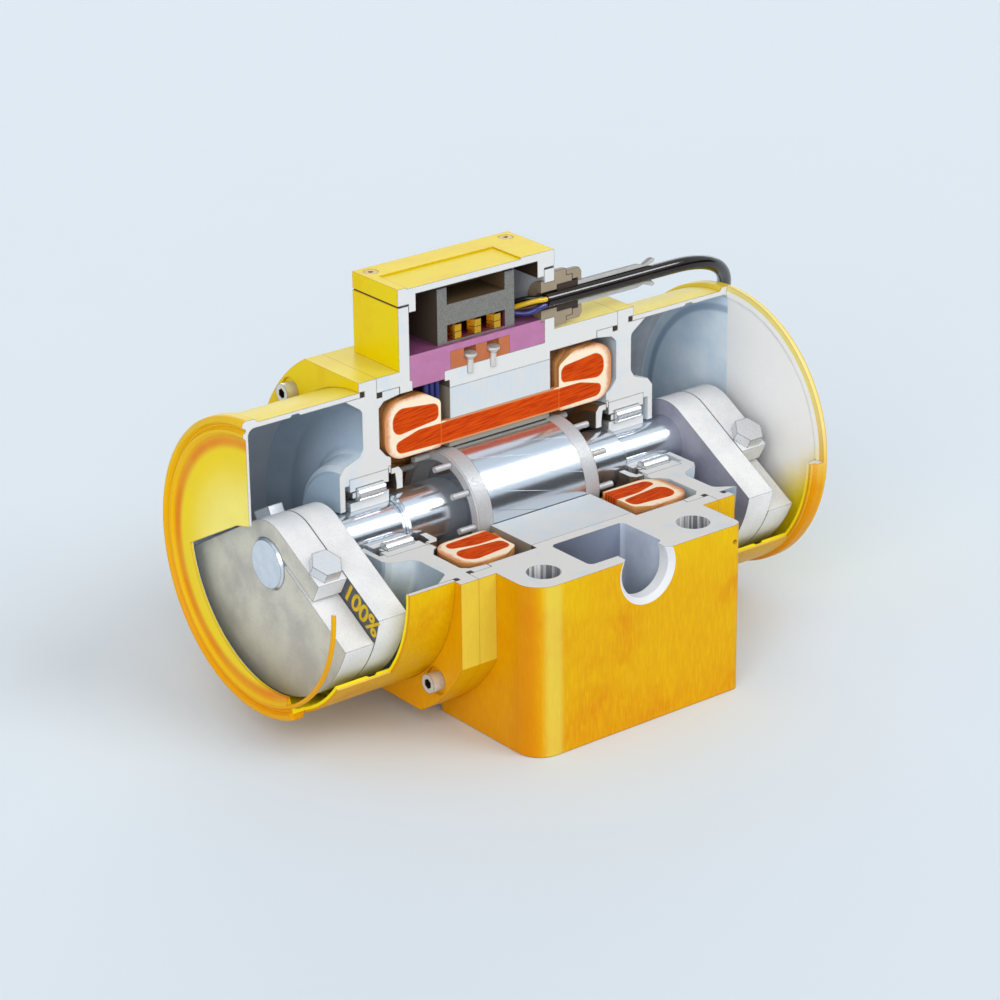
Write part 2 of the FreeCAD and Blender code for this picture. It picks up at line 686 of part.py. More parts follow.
def make_shield():
    """The right end shield: a turned web and boss on a flange with the frame's outline."""
    lip = size("shaft_radius") + size("shaft_lip_clearance")
    clip_seat = seat_radius + size("circlip_depth")
    clip_end = circlip_x + size("circlip_width") + 0.1
    seal_inner = spigot - groove_depth
    seal_end = housing_half - groove_depth - 0.6
    inboard = housing_half - size("spigot_length") + 0.4
    spigot_root = cover_inner - size("cover_spigot_taper")
    profile = [
        (boss_end, lip),
        (boss_end, size("boss_nose_radius")),
        (boss_end - 3.9, size("boss_nose_radius") + 5.3),
        (web_outer + 3, size("boss_cone_radius")),
        (web_outer, size("boss_cone_radius") + 5),
        (web_outer, spigot_root),
        (size("cover_spigot_x"), cover_inner - 0.1),
        (flange_face - groove_depth - 1, cover_inner - 0.1),
        (flange_face - groove_depth - 1, cover_radius + 0.2),
        (flange_face, cover_radius + 0.2),
        (flange_face, cover_radius + 3),
        (housing_half, cover_radius + 3),
        (housing_half, seal_inner),
        (seal_end, seal_inner),
        (seal_end, spigot),
        (inboard, spigot),
        (inboard, spigot - 5),
        (web_inner - 4, spigot - 7),
        (web_inner, spigot - 11),
        (web_inner, seat_radius + size("boss_wall") + 8),
        (web_inner - 5, seat_radius + size("boss_wall") + 2),
        (seat_start, seat_radius + size("boss_wall")),
        (seat_start, seat_radius),
        (circlip_x - 0.1, seat_radius),
        (circlip_x - 0.1, clip_seat),
        (clip_end, clip_seat),
        (clip_end, seat_radius),
        (bearing_end, seat_radius),
        (bearing_end, seat_radius - 4),
        (boss_end - 4.3, seat_radius - 4),
        (boss_end - 4.3, lip),
    ]
    web = turned("shield_web", profile)
    round_edges(web, 3, ring_at(web_outer, size("boss_cone_radius") + 5))
    round_edges(web, 5, ring_at(web_outer, spigot_root))
    plate = rounded_square("shield_plate", housing_half, size("flange_thickness"))
    hole = rod("shield_plate_hole", cover_radius + 2, size("flange_thickness") + 2, housing_half - 1, 0,
               axis_height,
               "x")
    ring = without("shield_ring", plate, [hole, quarter])
    tools = []
    for y, z in screw_places():
        tools.append(rod("shield_hole", size("screw_radius") + 0.5, size("flange_thickness") + 2,
                         housing_half - 1,
                         y, z, "x"))
        tools.append(rod("spotface", size("spotface_radius"), size("spotface_depth") + 1,
                         flange_face - size("spotface_depth"), y, z, "x"))
    pair("end_shield", without("right_end_shield", joined("shield_whole", [web, ring]), tools))


def make_shield_screws():
    """Socket head screws that hold the right shield on the housing."""
    seat = flange_face - size("spotface_depth")
    screws = []
    for y, z in screw_places():
        shank = rod("screw_shank", size("screw_radius"), size("screw_length"),
                    seat - size("screw_length"), y, z, "x")
        head = rod("screw_head", size("screw_head_radius"), size("screw_head_height"), seat, y, z, "x")
        socket = hexagon("screw_socket", size("screw_socket_radius") * 2 * math.cos(math.pi / 6),
                         size("screw_socket_depth") + 1,
                         seat + size("screw_head_height") - size("screw_socket_depth"), y, z, "x")
        screws.append(without("shield_screw", joined("screw_solid", [shank, head]), [socket]))
    pair("shield_screws", grouped("right_shield_screws", screws))


def seal_ring(name, x, radius):
    """A rubber ring of round section about the shaft line, cut with the casing."""
    wire = size("seal_wire_radius")
    body = turned(name, [(x - wire, radius - wire), (x + wire, radius - wire), (x + wire, radius + wire),
                         (x - wire, radius + wire)])
    rounding = wire * 0.96
    for side_x in (x - wire, x + wire):
        for side_radius in (radius - wire, radius + wire):
            round_edges(body, rounding, ring_at(side_x, side_radius))
    return body


make_shield()
make_shield_screws()
seal_wire = size("seal_wire_radius")
pair("shield_seal", seal_ring("shield_seal", housing_half - seal_wire - 0.1, spigot - seal_wire))
pair("cover_seal", seal_ring("cover_seal", flange_face - groove_depth - 1 + seal_wire,
                             (cover_inner + cover_radius + 0.1) / 2))


# Covers
disc_outer = size("cover_end_x") - size("cover_disc_recess")
disc_inner = disc_outer - size("cover_disc_thickness")
cover_end = size("cover_end_x")
bead_radius = cover_radius + size("cover_bead_rise")
bead_start = cover_end - size("cover_bead_width") - 2
ridge = cover_radius - size("cover_ridge_inset")
disc_radius = cover_radius - size("cover_disc_inset")
weight_radius = cover_inner - size("weight_clearance")


def make_cover_shell(name):
    """The pressed cover of the right end, whole, with its beaded rim and dished end."""
    groove = size("cover_groove_x")
    half = size("cover_groove_width") / 2
    deep = cover_inner + size("cover_groove_depth")
    mouth = flange_face - size("cover_seat_gap")
    profile = [
        (mouth, cover_inner),
        (groove - half, cover_inner),
        (groove - half + 1.5, deep),
        (groove + half - 1.5, deep),
        (groove + half, cover_inner),
        (disc_inner, cover_inner),
        (disc_inner, 0),
        (disc_outer, 0),
        (disc_outer, disc_radius),
        (cover_end - 0.4, ridge - 1.2),
        (cover_end - 0.4, ridge + 0.8),
        (disc_outer - 0.4, ridge + 2.4),
        (disc_outer - 0.4, ridge + 3.6),
        (cover_end, ridge + 5.4),
        (cover_end, bead_radius),
        (bead_start + 2, bead_radius),
        (bead_start, cover_radius),
        (mouth, cover_radius),
    ]
    shell = turned(name, profile, arc=360)
    round_edges(shell, 5, ring_at(disc_inner, cover_inner))
    round_edges(shell, 3.2, ring_at(cover_end, bead_radius))
    round_edges(shell, 1.2, ring_at(cover_end, ridge + 5.4))
    return round_edges(shell, 1.5, ring_at(bead_start + 2, bead_radius))


def side_window(name, start, end, angle):
    """A ring sector from the front of the level section down by an angle."""
    inner, outer = cover_inner - 9, bead_radius + 5
    body = doc.addObject("PartDesign::Body", name)
    sketch = add_outline(body, "XY_Plane", [(start, -outer), (end, -outer), (end, -inner), (start, -inner)])
    turn = body.newObject("PartDesign::Revolution", "Turn")
    turn.Profile = sketch
    turn.ReferenceAxis = (sketch, ["H_Axis"])
    bind(turn, "Angle", angle)
    place(body, z=axis_height)
    doc.recompute()
    return body


def make_covers():
    """Both covers with the parts taken away that would hide the weights."""
    right_quarter = block("cover_quarter", (0, disc_inner - 1), (-FAR, 0), (axis_height, axis_height + FAR))
    window = side_window("right_window", size("right_window_start_x"), size("window_end_x"),
                         size("side_window_angle"))
    node("right_cover", without("right_cover", make_cover_shell("right_cover_shell"),
                                [right_quarter, window]))

    shell = mirrored("left_cover_shell", make_cover_shell("left_cover_whole"))
    side = side_window("left_window", -size("rim_window_x") - 1, -size("window_start_x"),
                       size("side_window_angle"))
    rim_window = side_window("left_rim_window", -cover_end - 1, -size("rim_window_x"),
                             size("rim_window_angle"))
    slope = size("weight_slope")
    hub = size("weight_hub_radius")
    far = weight_radius * 2
    opening = prism("end_window_outline", [
        (hub * sine(slope), hub * cosine(slope)),
        (far, hub * cosine(slope) - far * sine(slope)),
        (far, -far),
        (-far, -far),
        (-far, far),
        (0, far),
        (0, hub),
    ], -cover_end - 1, size("cover_disc_thickness") + size("cover_disc_recess") + 2)
    inside_rim = rod("end_window_limit", disc_radius, FAR, -FAR, 0, axis_height, "x")
    seen_weight = rod("end_window_round", weight_radius, FAR, -FAR, -size("end_window_shift"),
                      axis_height + size("end_window_lift"), "x")
    round_plug = shared("end_window_plug", [inside_rim, seen_weight])
    end_window = shared("end_window", [opening, round_plug])
    kept = turned("rim_arc", [
        (-cover_end - 2, ridge - 1.2),
        (-disc_outer, ridge - 1.2),
        (-disc_outer, ridge - 1.2 + size("window_arc_width")),
        (-cover_end - 2, ridge - 1.2 + size("window_arc_width")),
    ], arc=360)
    rim_tool = without("left_rim_opening", rim_window, [kept])
    node("left_cover", without("left_cover", shell, [quarter, end_window, side, rim_tool]))


make_covers()


# Bearings
def make_bearing():
    """The right roller bearing: rings, rollers, cage, circlip and grease ring."""
    race, lip = size("bearing_race_outer"), size("bearing_outer_lip")
    race_start = bearing_start + (size("bearing_width") - size("roller_length")) / 2 - size("roller_play")
    race_end = race_start + size("roller_length") + size("roller_play") * 2
    outer = turned("right_bearing_outer_ring", [
        (bearing_start, lip), (race_start, lip), (race_start, race), (race_end, race), (race_end, lip),
        (bearing_end, lip), (bearing_end, seat_radius - 0.02), (bearing_start, seat_radius - 0.02),
    ])
    pair("bearing_outer_ring", outer)
    bore = size("shaft_radius")
    race, lip = size("bearing_race_inner"), size("bearing_inner_lip")
    inner = turned("right_bearing_inner_ring", [
        (bearing_start, bore), (bearing_end, bore), (bearing_end, race), (race_start, race),
        (race_start, lip),
        (bearing_start, lip),
    ])
    pair("bearing_inner_ring", inner)

    pitch_radius = (size("bearing_race_outer") + size("bearing_race_inner")) / 2
    places = int(size("roller_count").value)
    kept = [360 * k / places for k in range(places) if not 0 < 360 * k / places < 90]
    roller_start = race_start + size("roller_play")
    roller = rod("roller", size("roller_radius"), size("roller_length"), roller_start, 0,
                 axis_height + pitch_radius, "x")
    pair("bearing_rollers", turned_copies("right_bearing_rollers", roller, kept))

    cage_start = bearing_start + (size("bearing_width") - size("cage_length")) / 2
    cage = turned("cage_ring", [
        (cage_start, size("cage_inner_radius")),
        (cage_start + size("cage_length"), size("cage_inner_radius")),
        (cage_start + size("cage_length"), size("cage_outer_radius")),
        (cage_start, size("cage_outer_radius")),
    ])
    pocket = rod("cage_pocket", size("roller_radius") + 0.3, size("roller_length") + 0.6,
                 roller_start - 0.3, 0,
                 axis_height + pitch_radius, "x")
    pockets = turned_copies("cage_pockets", pocket, [360 * k / places for k in range(places)])
    pair("bearing_cage", without("right_bearing_cage", cage, [pockets]))

    clip_outer = seat_radius + size("circlip_depth") - 0.1
    circlip = turned("right_circlip", [
        (circlip_x, seat_radius - 3.2),
        (circlip_x + size("circlip_width"), seat_radius - 3.2),
        (circlip_x + size("circlip_width"), clip_outer),
        (circlip_x, clip_outer),
    ])
    pair("bearing_circlip", circlip)

    ring_outer, ring_inner = size("grease_ring_outer"), size("grease_ring_inner")
    ring_end = circlip_x - 0.3
    ring_start = ring_end - size("grease_ring_length")
    grease_ring = turned("right_grease_ring", [
        (ring_start, ring_inner), (ring_end - 4, ring_inner), (ring_end - 4, ring_inner + 4),
        (ring_end - 3, ring_outer - 4), (ring_end, ring_outer - 4), (ring_end, ring_outer),
        (ring_start + 3, ring_outer), (ring_start, ring_outer - 4),
    ])
    pair("grease_ring", grease_ring)


make_bearing()


# Shaft and rotor
shaft = size("shaft_radius")
middle = size("shaft_middle_radius")
shaft_end = size("shaft_half_length")
shoulder = size("shaft_shoulder_x")
chamfer = size("shaft_chamfer")
weight_start = size("weight_start_x")
thickness = size("weight_thickness")


def make_shaft():
    """The shaft with a key seat under each inner weight."""
    half_profile = [
        (shaft_end, 0), (shaft_end, shaft - chamfer), (shaft_end - chamfer, shaft), (shoulder, shaft),
        (shoulder, middle - chamfer), (shoulder - chamfer, middle),
    ]
    profile = half_profile + [(-x, radius) for x, radius in reversed(half_profile)]
    bar = turned("shaft_bar", profile, arc=360)
    floor = axis_height - shaft
    start = weight_start + (thickness - size("key_length")) / 2
    width = size("key_width") / 2
    seats = [
        block("key_seat", (x, x + size("key_length")), (-width, width),
              (floor - 2, floor + size("key_seat")))
        for x in (start, -start - size("key_length"))
    ]
    node("shaft", without("shaft", bar, seats))
    key = block("right_key", (start, start + size("key_length")), (-width, width),
                (floor + size("key_seat") - size("key_height"), floor + size("key_seat")))
    node("weight_keys", grouped("weight_keys", [key, mirrored("left_key", key)]))


def make_rotor():
    """Laminated core with cast bars and end rings."""
    half = size("rotor_half_length")
    count = int(size("rotor_bar_count").value)
    angles = [360 * k / count for k in range(count)]
    core = turned("core_bar", [
        (-half, middle), (half, middle), (half, size("rotor_radius")), (-half, size("rotor_radius")),
    ], arc=360)
    bar = rod("rotor_bar", size("rotor_bar_radius"), half * 2, -half, 0,
              axis_height + size("rotor_bar_reach"), "x")
    bars = turned_copies("rotor_bars", bar, angles)
    node("rotor_core", without("rotor_core", core, [bars]))
    ring_end = half + size("end_ring_length")
    inner = size("end_ring_inner")
    ring = turned("end_ring", [
        (half, inner), (ring_end, inner + size("end_ring_taper")), (ring_end, size("rotor_radius") - 1),
        (ring_end - 1, size("rotor_radius")), (half, size("rotor_radius")),
    ], arc=360)
    peg_reach = (inner + size("end_ring_taper") + size("rotor_radius") - 1) / 2
    peg = rod("peg", size("peg_radius"), size("peg_length") + 2, ring_end - 2, 0, axis_height + peg_reach,
              "x")
    pegs = int(size("peg_count").value)
    peg_ring = turned_copies("pegs", peg, [360 * (k + 0.5) / pegs for k in range(pegs)])
    cast_ring = joined("right_cast_ring", [ring, peg_ring])
    node("rotor_cage", joined("rotor_cage", [cast_ring, mirrored("left_cast_ring", cast_ring), bars]))


make_shaft()
make_rotor()


# Eccentric weights
slope = size("weight_slope")
along = (cosine(slope), -sine(slope))
across = (sine(slope), cosine(slope))


def edge_point(reach, offset, side):
    """A point (y, z) at a reach down the sloping edge and an offset above it, on one side of the shaft."""
    return ((along[0] * reach + across[0] * offset) * side, along[1] * reach + across[1] * offset)


def make_weight(name, start, side, bore):
    """One eccentric weight; side 1 has its clamp ear at the back and -1 at the front."""
    hub, outer = size("weight_hub_radius"), weight_radius
    low = size("clamp_slit_offset")
    high = low + size("clamp_slit")
    ear = size("clamp_ear_length")
    sector = prism(f"{name}_sector", [
        edge_point(0, hub, -side),
        edge_point(outer, hub, -side),
        (edge_point(outer, hub, -side)[0], -outer - 5),
        (edge_point(outer, low, side)[0], -outer - 5),
        edge_point(outer, low, side),
        edge_point(ear, low, side),
        edge_point(ear, hub, side),
        edge_point(0, hub, side),
    ], start, thickness)
    disc = rod(f"{name}_disc", outer, thickness, start, 0, axis_height, "x")
    hub_rod = rod(f"{name}_hub", hub, thickness, start, 0, axis_height, "x")
    slit = prism(f"{name}_slit", [
        edge_point(0, low, side), edge_point(ear + 5, low, side), edge_point(ear + 5, high, side),
        edge_point(0, high, side),
    ], start - 1, thickness + 2)
    bore_rod = rod(f"{name}_bore", bore, thickness + 2, start - 1, 0, axis_height, "x")
    length = size("clamp_bolt_length")
    foot = edge_point(size("clamp_bolt_reach"), hub - length - 1, side)
    bolt_hole = rod(f"{name}_bolt_hole", size("clamp_bolt_radius") + fit, length + 2)
    place(bolt_hole, start + thickness / 2, foot[0], axis_height + foot[1], (ACROSS_X, -slope * side))
    body = joined(f"{name}_body", [shared(f"{name}_blank", [sector, disc]), hub_rod])
    return without(name, body, [slit, bore_rod, bolt_hole])


def make_clamp_bolt(name, start, side):
    """The M12 bolt that closes the ear of one weight."""
    hub = size("weight_hub_radius")
    length = size("clamp_bolt_length")
    foot = edge_point(size("clamp_bolt_reach"), hub - length, side)
    seat = edge_point(size("clamp_bolt_reach"), hub, side)
    turn = (ACROSS_X, -slope * side)
    shank = rod(f"{name}_shank", size("clamp_bolt_radius"), length + 1)
    place(shank, start + thickness / 2, foot[0], axis_height + foot[1], turn)
    head = hexagon(f"{name}_head", size("clamp_head_flats"), size("clamp_head_height"))
    place(head, start + thickness / 2, seat[0], axis_height + seat[1], turn)
    return joined(name, [shank, head])


def make_weights():
    """Inner weights keyed to the shaft and outer weights clamped where they are set."""
    key_half = size("key_width") / 2
    keyway = block("keyway", (weight_start - 1, weight_start + thickness + 1), (-key_half, key_half),
                   (axis_height - shaft + size("key_seat") - size("key_height") - fit, axis_height))
    inner = make_weight("inner_weight", weight_start, 1, shaft)
    pair("inner_weight", without("right_inner_weight", inner, [keyway]))
    pair("inner_clamp_bolt", make_clamp_bolt("right_inner_clamp_bolt", weight_start, 1))
    outer_start = weight_start + thickness + size("weight_gap")
    pair("outer_weight", make_weight("right_outer_weight", outer_start, -1,
                                     shaft + size("weight_bore_play")))
    pair("outer_clamp_bolt", make_clamp_bolt("right_outer_clamp_bolt", outer_start, -1))


make_weights()


# Stator and windings
stator_half = size("stator_half_length")
slot_low, slot_high = size("slot_top"), size("slot_bottom")
slot_half = size("slot_width") / 2
bore_radius = size("rotor_radius") + size("air_gap")


def slot_angles():
    """Turns of the first, upright slot that stay behind the section."""
    count = int(size("slot_count").value)
    return [-360 * k / count for k in range(count) if 360 * k / count < 270]


def slot_block(name, half_width, low, high, start, length):
    """A straight bar in the upright slot with round corners at the slot bottom."""
    body = prism(name, [(-half_width, low), (half_width, low), (half_width, high), (-half_width, high)],
                 start, length)
    far = as_size(high).value
    return round_edges(body, half_width * 0.6, lambda edge: abs(edge.BoundBox.ZMin - far) < 0.01
                       and edge.BoundBox.XLength > 1)


def make_stator():
    """Slotted core, slot liners and the copper in the slots."""
    ring = turned("stator_ring", [
        (-stator_half, bore_radius), (stator_half, bore_radius), (stator_half, size("stator_radius")),
        (-stator_half, size("stator_radius")),
    ])
    slot = slot_block("slot", slot_half, slot_low, slot_high, -stator_half - 1, stator_half * 2 + 2)
    mouth_half = size("slot_mouth") / 2
    mouth = prism("slot_mouth", [
        (-mouth_half, bore_radius - 2), (mouth_half, bore_radius - 2), (mouth_half, slot_low + 1),
        (-mouth_half, slot_low + 1),
    ], -stator_half - 1, stator_half * 2 + 2)
    slots = turned_copies("slots", joined("slot_and_mouth", [slot, mouth]), slot_angles())
    node("stator_core", without("stator_core", ring, [slots]))

    liner = size("slot_liner")
    inside = slot_half - liner
    reach = size("winding_start_x")
    filling = slot_block("slot_filling", inside, slot_low + liner, slot_high - liner, -reach, reach * 2)
    lining = slot_block("slot_lining", slot_half, slot_low, slot_high, 0.1 - reach, reach * 2 - 0.2)
    one_liner = without("slot_liner_one", lining, [filling])
    node("slot_liners", without("slot_liners", turned_copies("liners", one_liner, slot_angles()), [quarter]))
    node("slot_windings", without("slot_windings", turned_copies("bars", filling, slot_angles()), [quarter]))


def rounded_ring(name, corners, radii):
    """A turned ring whose section has a rounding at each corner."""
    body = turned(name, corners)
    for (x, ring_radius), rounding in zip(corners, radii):
        round_edges(body, rounding, ring_at(x, ring_radius))
    return body


def make_end_windings():
    """The coil heads of the right end in their wrapping."""
    liner = size("slot_liner")
    low, high = slot_low + liner, slot_high - liner
    start = size("winding_start_x")
    near, far = size("upper_coil_start"), size("upper_coil_end")
    inner, outer = size("upper_coil_inner"), size("upper_coil_outer")
    taper = size("upper_coil_taper")
    upper = rounded_ring("upper_coil",
                         [(near, inner), (far, inner - taper), (far, outer), (near, outer - taper)],
                         (4.0, 6.5, 8.5, 5.0))
    end = size("lower_coil_end")
    rise = high - size("lower_coil_taper")
    middle_x = (start + end) / 2
    lower = rounded_ring("lower_coil",
                         [(start, low), (end, low + 1), (end, rise), (middle_x, high), (start, high)],
                         (1.0, 5.0, 3.5, 20.0, 1.0))
    pair("end_winding", grouped("right_end_winding", [upper, lower]))
    wrap_end = size("winding_end_x")
    wrap_low, wrap_high = size("winding_inner_radius"), size("winding_outer_radius")
    shoulder_x = start + size("winding_shoulder") * 1.7
    wrap = rounded_ring("wrap", [
        (start, wrap_low), (wrap_end, wrap_low), (wrap_end, wrap_high), (shoulder_x, wrap_high),
        (start, wrap_high - size("winding_shoulder")),
    ], (2.0, 14.0, 14.0, 12.0, 5.0))
    pair("winding_wrap", without("right_winding_wrap", wrap, [upper, lower]))
    return mirrored("left_wrap_outline", wrap)


make_stator()
left_wrap = make_end_windings()


# Terminal box
gasket_top = box_rim + size("gasket_thickness")
lid_top = gasket_top + size("lid_height")
compound_top = axis_height + size("compound_rise")


def make_lid():
    """Lid with lip, recessed panel and countersunk screws, on its gasket."""
    inner_x = (box_left + box_wall, box_right - box_wall)
    inner_y = (box_wall - box_half, box_half - box_wall)
    plate = block("lid_plate", (box_left, box_right), (-box_half, box_half), (gasket_top, lid_top))
    lip = block("lid_lip", (inner_x[0] + 0.2, inner_x[1] - 0.2), (inner_y[0] + 0.2, inner_y[1] - 0.2),
                (box_rim - size("lid_lip_depth"), gasket_top + 1))
    width = size("lid_lip_width")
    hollow = block("lid_hollow", (inner_x[0] + width, inner_x[1] - width),
                   (inner_y[0] + width, inner_y[1] - width),
                   (box_rim - size("lid_lip_depth") - 1, lid_top - size("lid_plate")))
    panel = block("lid_panel", (-size("lid_panel_left"), size("lid_panel_right")),
                  (-size("lid_panel_half_width"), size("lid_panel_half_width")),
                  (lid_top - size("lid_panel_depth"), lid_top + 1))
    places = [(x, y) for x in lid_screw_x for y in (-lid_screw_y, lid_screw_y)]
    holes = [rod("lid_hole", size("lid_screw_radius") + 0.3, FAR, x, y, box_rim - 30) for x, y in places]
    head = size("lid_screw_head_radius")
    sinks = [cone("lid_sink", 0, head + 0.4, head + 0.4, x, y, lid_top - head - 0.4) for x, y in places]
    posts = [rod("lid_post", size("box_post_radius") + 0.3, 30, x, y, box_rim - 30) for x, y in places]
    node("terminal_box_lid", without("terminal_box_lid", joined("lid_solid", [plate, lip]),
                                     [hollow, panel, quarter] + holes + sinks + posts))
    seal = block("gasket_sheet", (box_left + 0.6, box_right - 0.6), (0.6 - box_half, box_half - 0.6),
                 (box_rim, gasket_top))
    hole = block("gasket_hole", (inner_x[0] + 0.1, inner_x[1] - 0.1), (inner_y[0] + 0.1, inner_y[1] - 0.1),
                 (box_rim - 1, gasket_top + 1))
    node("lid_gasket", without("lid_gasket", seal, [hole, quarter] + [
        rod("gasket_screw_hole", size("lid_screw_radius") + 0.3, FAR, x, y, box_rim - 30) for x,
        y in places]))
    screws = []
    for x in lid_screw_x:
        shank = rod("lid_screw_shank", size("lid_screw_radius"), size("lid_screw_length") - 1, x,
                    lid_screw_y,
                    lid_top - size("lid_screw_length"))
        top = cone("lid_screw_top", 0, head, head, x, lid_screw_y, lid_top - head - 0.2)
        socket = hexagon("lid_screw_socket", 3.2, 3, x, lid_screw_y, lid_top - 2.6)
        screws.append(without("lid_screw", joined("lid_screw_solid", [shank, top]), [socket]))
    node("lid_screws", grouped("lid_screws", screws))


def make_compound():
    """Terminal board with its screws, set in sealing compound that also plugs the passage."""
    board_x = (-size("board_left"), size("board_right"))
    board_top = box_floor + size("board_thickness")
    board = block("board_solid", board_x, (0, size("board_width")), (box_floor, board_top))
    head = size("board_screw_head_radius")
    head_top = board_top - size("board_screw_depth")
    places = (-size("board_screw_left"), -size("board_screw_right"))
    tools = []
    screws = []
    for x in places:
        tools.append(rod("board_screw_hole", size("board_screw_radius") + fit, 60, x, 0, box_floor - 20))
        tools.append(rod("board_head_hole", head + 0.2, 20, x, 0, head_top - 2.2))
        tools.append(cone("board_sink", 0, head + 0.2, head + 0.2, x, 0, head_top - head - 2.4))
        top = rod("board_screw_top", head, 2, x, 0, head_top - 2)
        taper = cone("board_screw_taper", 0, head, head, x, 0, head_top - 2 - head)
        shank = rod("board_screw_shank", size("board_screw_radius"), size("board_screw_length") - 1, x, 0,
                    head_top - size("board_screw_length"))
        slot = block("board_screw_slot", (x - 6, x + 6), (-0.6, 0.6), (head_top - 1.2, head_top + 1))
        screws.append(without("board_screw", joined("board_screw_solid", [shank, taper, top]), [slot]))
    node("terminal_board", without("terminal_board", board, tools))
    node("terminal_board_screws", grouped("terminal_board_screws", screws))

    filling = block("compound_filling", (box_left + box_wall, box_right - box_wall),
                    (0, box_half - box_wall),
                    (box_floor, compound_top))
    plug = block("compound_plug", (-size("passage_left"), -size("passage_right")),
                 (0, size("passage_half_width")),
                 (axis_height + size("compound_bottom_rise"), box_floor + 1))
    posts = [rod("compound_post", size("box_post_radius"), 60, x, lid_screw_y,
                 box_floor - 1) for x in lid_screw_x]
    well = block("compound_well", board_x, (-1, size("board_width")), (box_floor - 1, board_top))
    gland_way = rod("compound_gland_way", size("gland_thread_radius") + size("gland_collar") + fit, 20,
                    size("gland_inner_x") - fit, 0, gland_height, "x")
    node("sealing_compound", without("sealing_compound", joined("compound_solid", [filling, plug]),
                                     posts + [well, gland_way]))


def make_terminals():
    """Terminal block with brass studs and nuts."""
    left, right = -size("block_left"), size("block_right")
    front = size("block_front")
    back = front + size("block_depth")
    low = compound_top + size("block_shelf_low")
    high = compound_top + size("block_shelf_high")
    top = compound_top + size("block_height")
    leg = size("block_leg")
    base = size("block_base")
    solid = block("block_solid", (left, right), (front, back), (compound_top, top))
    recess = block("block_recess", (left + leg, right - leg), (front - 1, back - 6),
                   (compound_top + base, low))
    window = block("block_window", (left + leg, right - leg), (front - 1, back - 4), (high, top + 1))
    wire_way = block("block_wire_way", (right - leg - 1, right + 1), (front + 3, back - 11),
                     (compound_top + 4, low - 1))
    studs, nuts, stud_holes = [], [], []
    for k in range(3):
        x = size("stud_pitch") * k - size("stud_first")
        y = front + size("stud_back")
        foot = compound_top + base
        studs.append(rod("stud", size("stud_radius"), low - foot - 0.5 + base, x, y, compound_top))
        stud_holes.append(rod("stud_hole", size("stud_radius") + fit, base + 1, x, y, compound_top - 0.5))
        for level in (0.1, size("stud_nut_height") + 0.3):
            nut = hexagon("nut_solid", size("stud_nut_flats"), size("stud_nut_height"), x, y, foot + level)
            hole = rod("nut_hole", size("stud_radius") + 0.05, 20, x, y, foot - 5)
            nuts.append(without("nut", nut, [hole]))
    node("terminal_block", without("terminal_block", solid, [recess, window, wire_way] + stud_holes))
    node("terminals", grouped("terminals", studs + nuts))


make_lid()
make_compound()
make_terminals()


# Cable gland
cable_radius = size("cable_radius")
thread = size("gland_thread_radius")
body_end = box_right + size("gland_body_length")
nut_end = body_end + size("gland_nut_length")


def make_gland():
    """Gland in the right wall of the box, halved by the upright section."""
    inner = size("gland_inner_x")
    seal = size("gland_seal_radius")
    wall_radius = cable_radius + 1.2
    gland = turned("gland_body", [
        (inner, wall_radius), (inner, thread + size("gland_collar")),
        (box_right - box_wall - 0.2, thread + size("gland_collar")),
        (box_right - box_wall - 0.2, thread), (box_right, thread), (box_right, size("gland_body_radius")),
        (body_end, size("gland_body_radius")), (body_end, size("gland_nut_radius") - 3.4),
        (body_end + 5, size("gland_nut_radius") - 3.4), (body_end + 5, seal), (body_end - 8, seal),
        (body_end - 8, wall_radius),
    ], arc=180, height=gland_height)
    node("gland_body", gland)
    nut = turned("gland_nut", [
        (body_end + 0.2, size("gland_nut_radius") - 3.2), (body_end + 0.2, size("gland_nut_radius")),
        (nut_end - 2, size("gland_nut_radius")), (nut_end, size("gland_nut_radius") - 3),
        (nut_end, size("sleeve_radius") + 0.1), (nut_end - 3, size("sleeve_radius") + 0.1),
        (nut_end - 3, seal + 1), (body_end + 5.4, seal + 1),
        (body_end + 5.4, size("gland_nut_radius") - 3.2),
    ], arc=180, height=gland_height)
    node("gland_nut", nut)
    rubber = turned("gland_seal", [
        (body_end - 7.8, cable_radius), (nut_end - 3.2, cable_radius), (nut_end - 3.2, seal),
        (body_end + 1, seal - 0.1), (body_end - 7.8, seal - 0.1),
    ], arc=180, height=gland_height)
    node("gland_seal", rubber)
    sleeve = size("sleeve_radius")
    sleeve_end = size("sleeve_end_x")
    tip = sleeve_end + size("sleeve_lip_length")
    rise = size("sleeve_lip_rise")
    anti_kink = turned("anti_kink_sleeve", [
        (nut_end - 3, cable_radius + 0.4), (sleeve_end, cable_radius + 0.4), (tip, cable_radius + rise),
        (tip + 1, cable_radius + rise + 2), (tip - 1, cable_radius + rise + 3),
        (sleeve_end - 3, sleeve - 1.4),
        (sleeve_end - 8, sleeve), (nut_end - 3, sleeve),
    ], arc=180, height=gland_height)
    node("anti_kink_sleeve", anti_kink)


make_gland()


# Cable
# Route of the cable centre line, from the end of the sheath in the box to its coil on the floor.
exit_z = gland_height.value
floor_z = cable_radius.value + 0.05
CABLE_ROUTE = [
    (38.0, 0.0, exit_z + 0.2),
    (84.0, 0.0, exit_z - 0.1),
    (128.0, 0.0, exit_z),
    (172.0, 0.4, exit_z - 0.3),
    (206.6, 12.0, exit_z - 16.0),
    (226.6, 32.8, exit_z - 43.7),
    (226.6, 56.8, 167.8),
    (224.0, 84.0, 128.0),
    (217.0, 109.0, 90.0),
    (210.0, 134.0, 54.0),
    (202.0, 160.0, 25.0),
    (191.0, 187.0, floor_z + 3.2),
    (178.0, 218.0, floor_z),
    (162.9, 253.0, floor_z),
]
COIL_CENTRE = (100.0, 228.0)


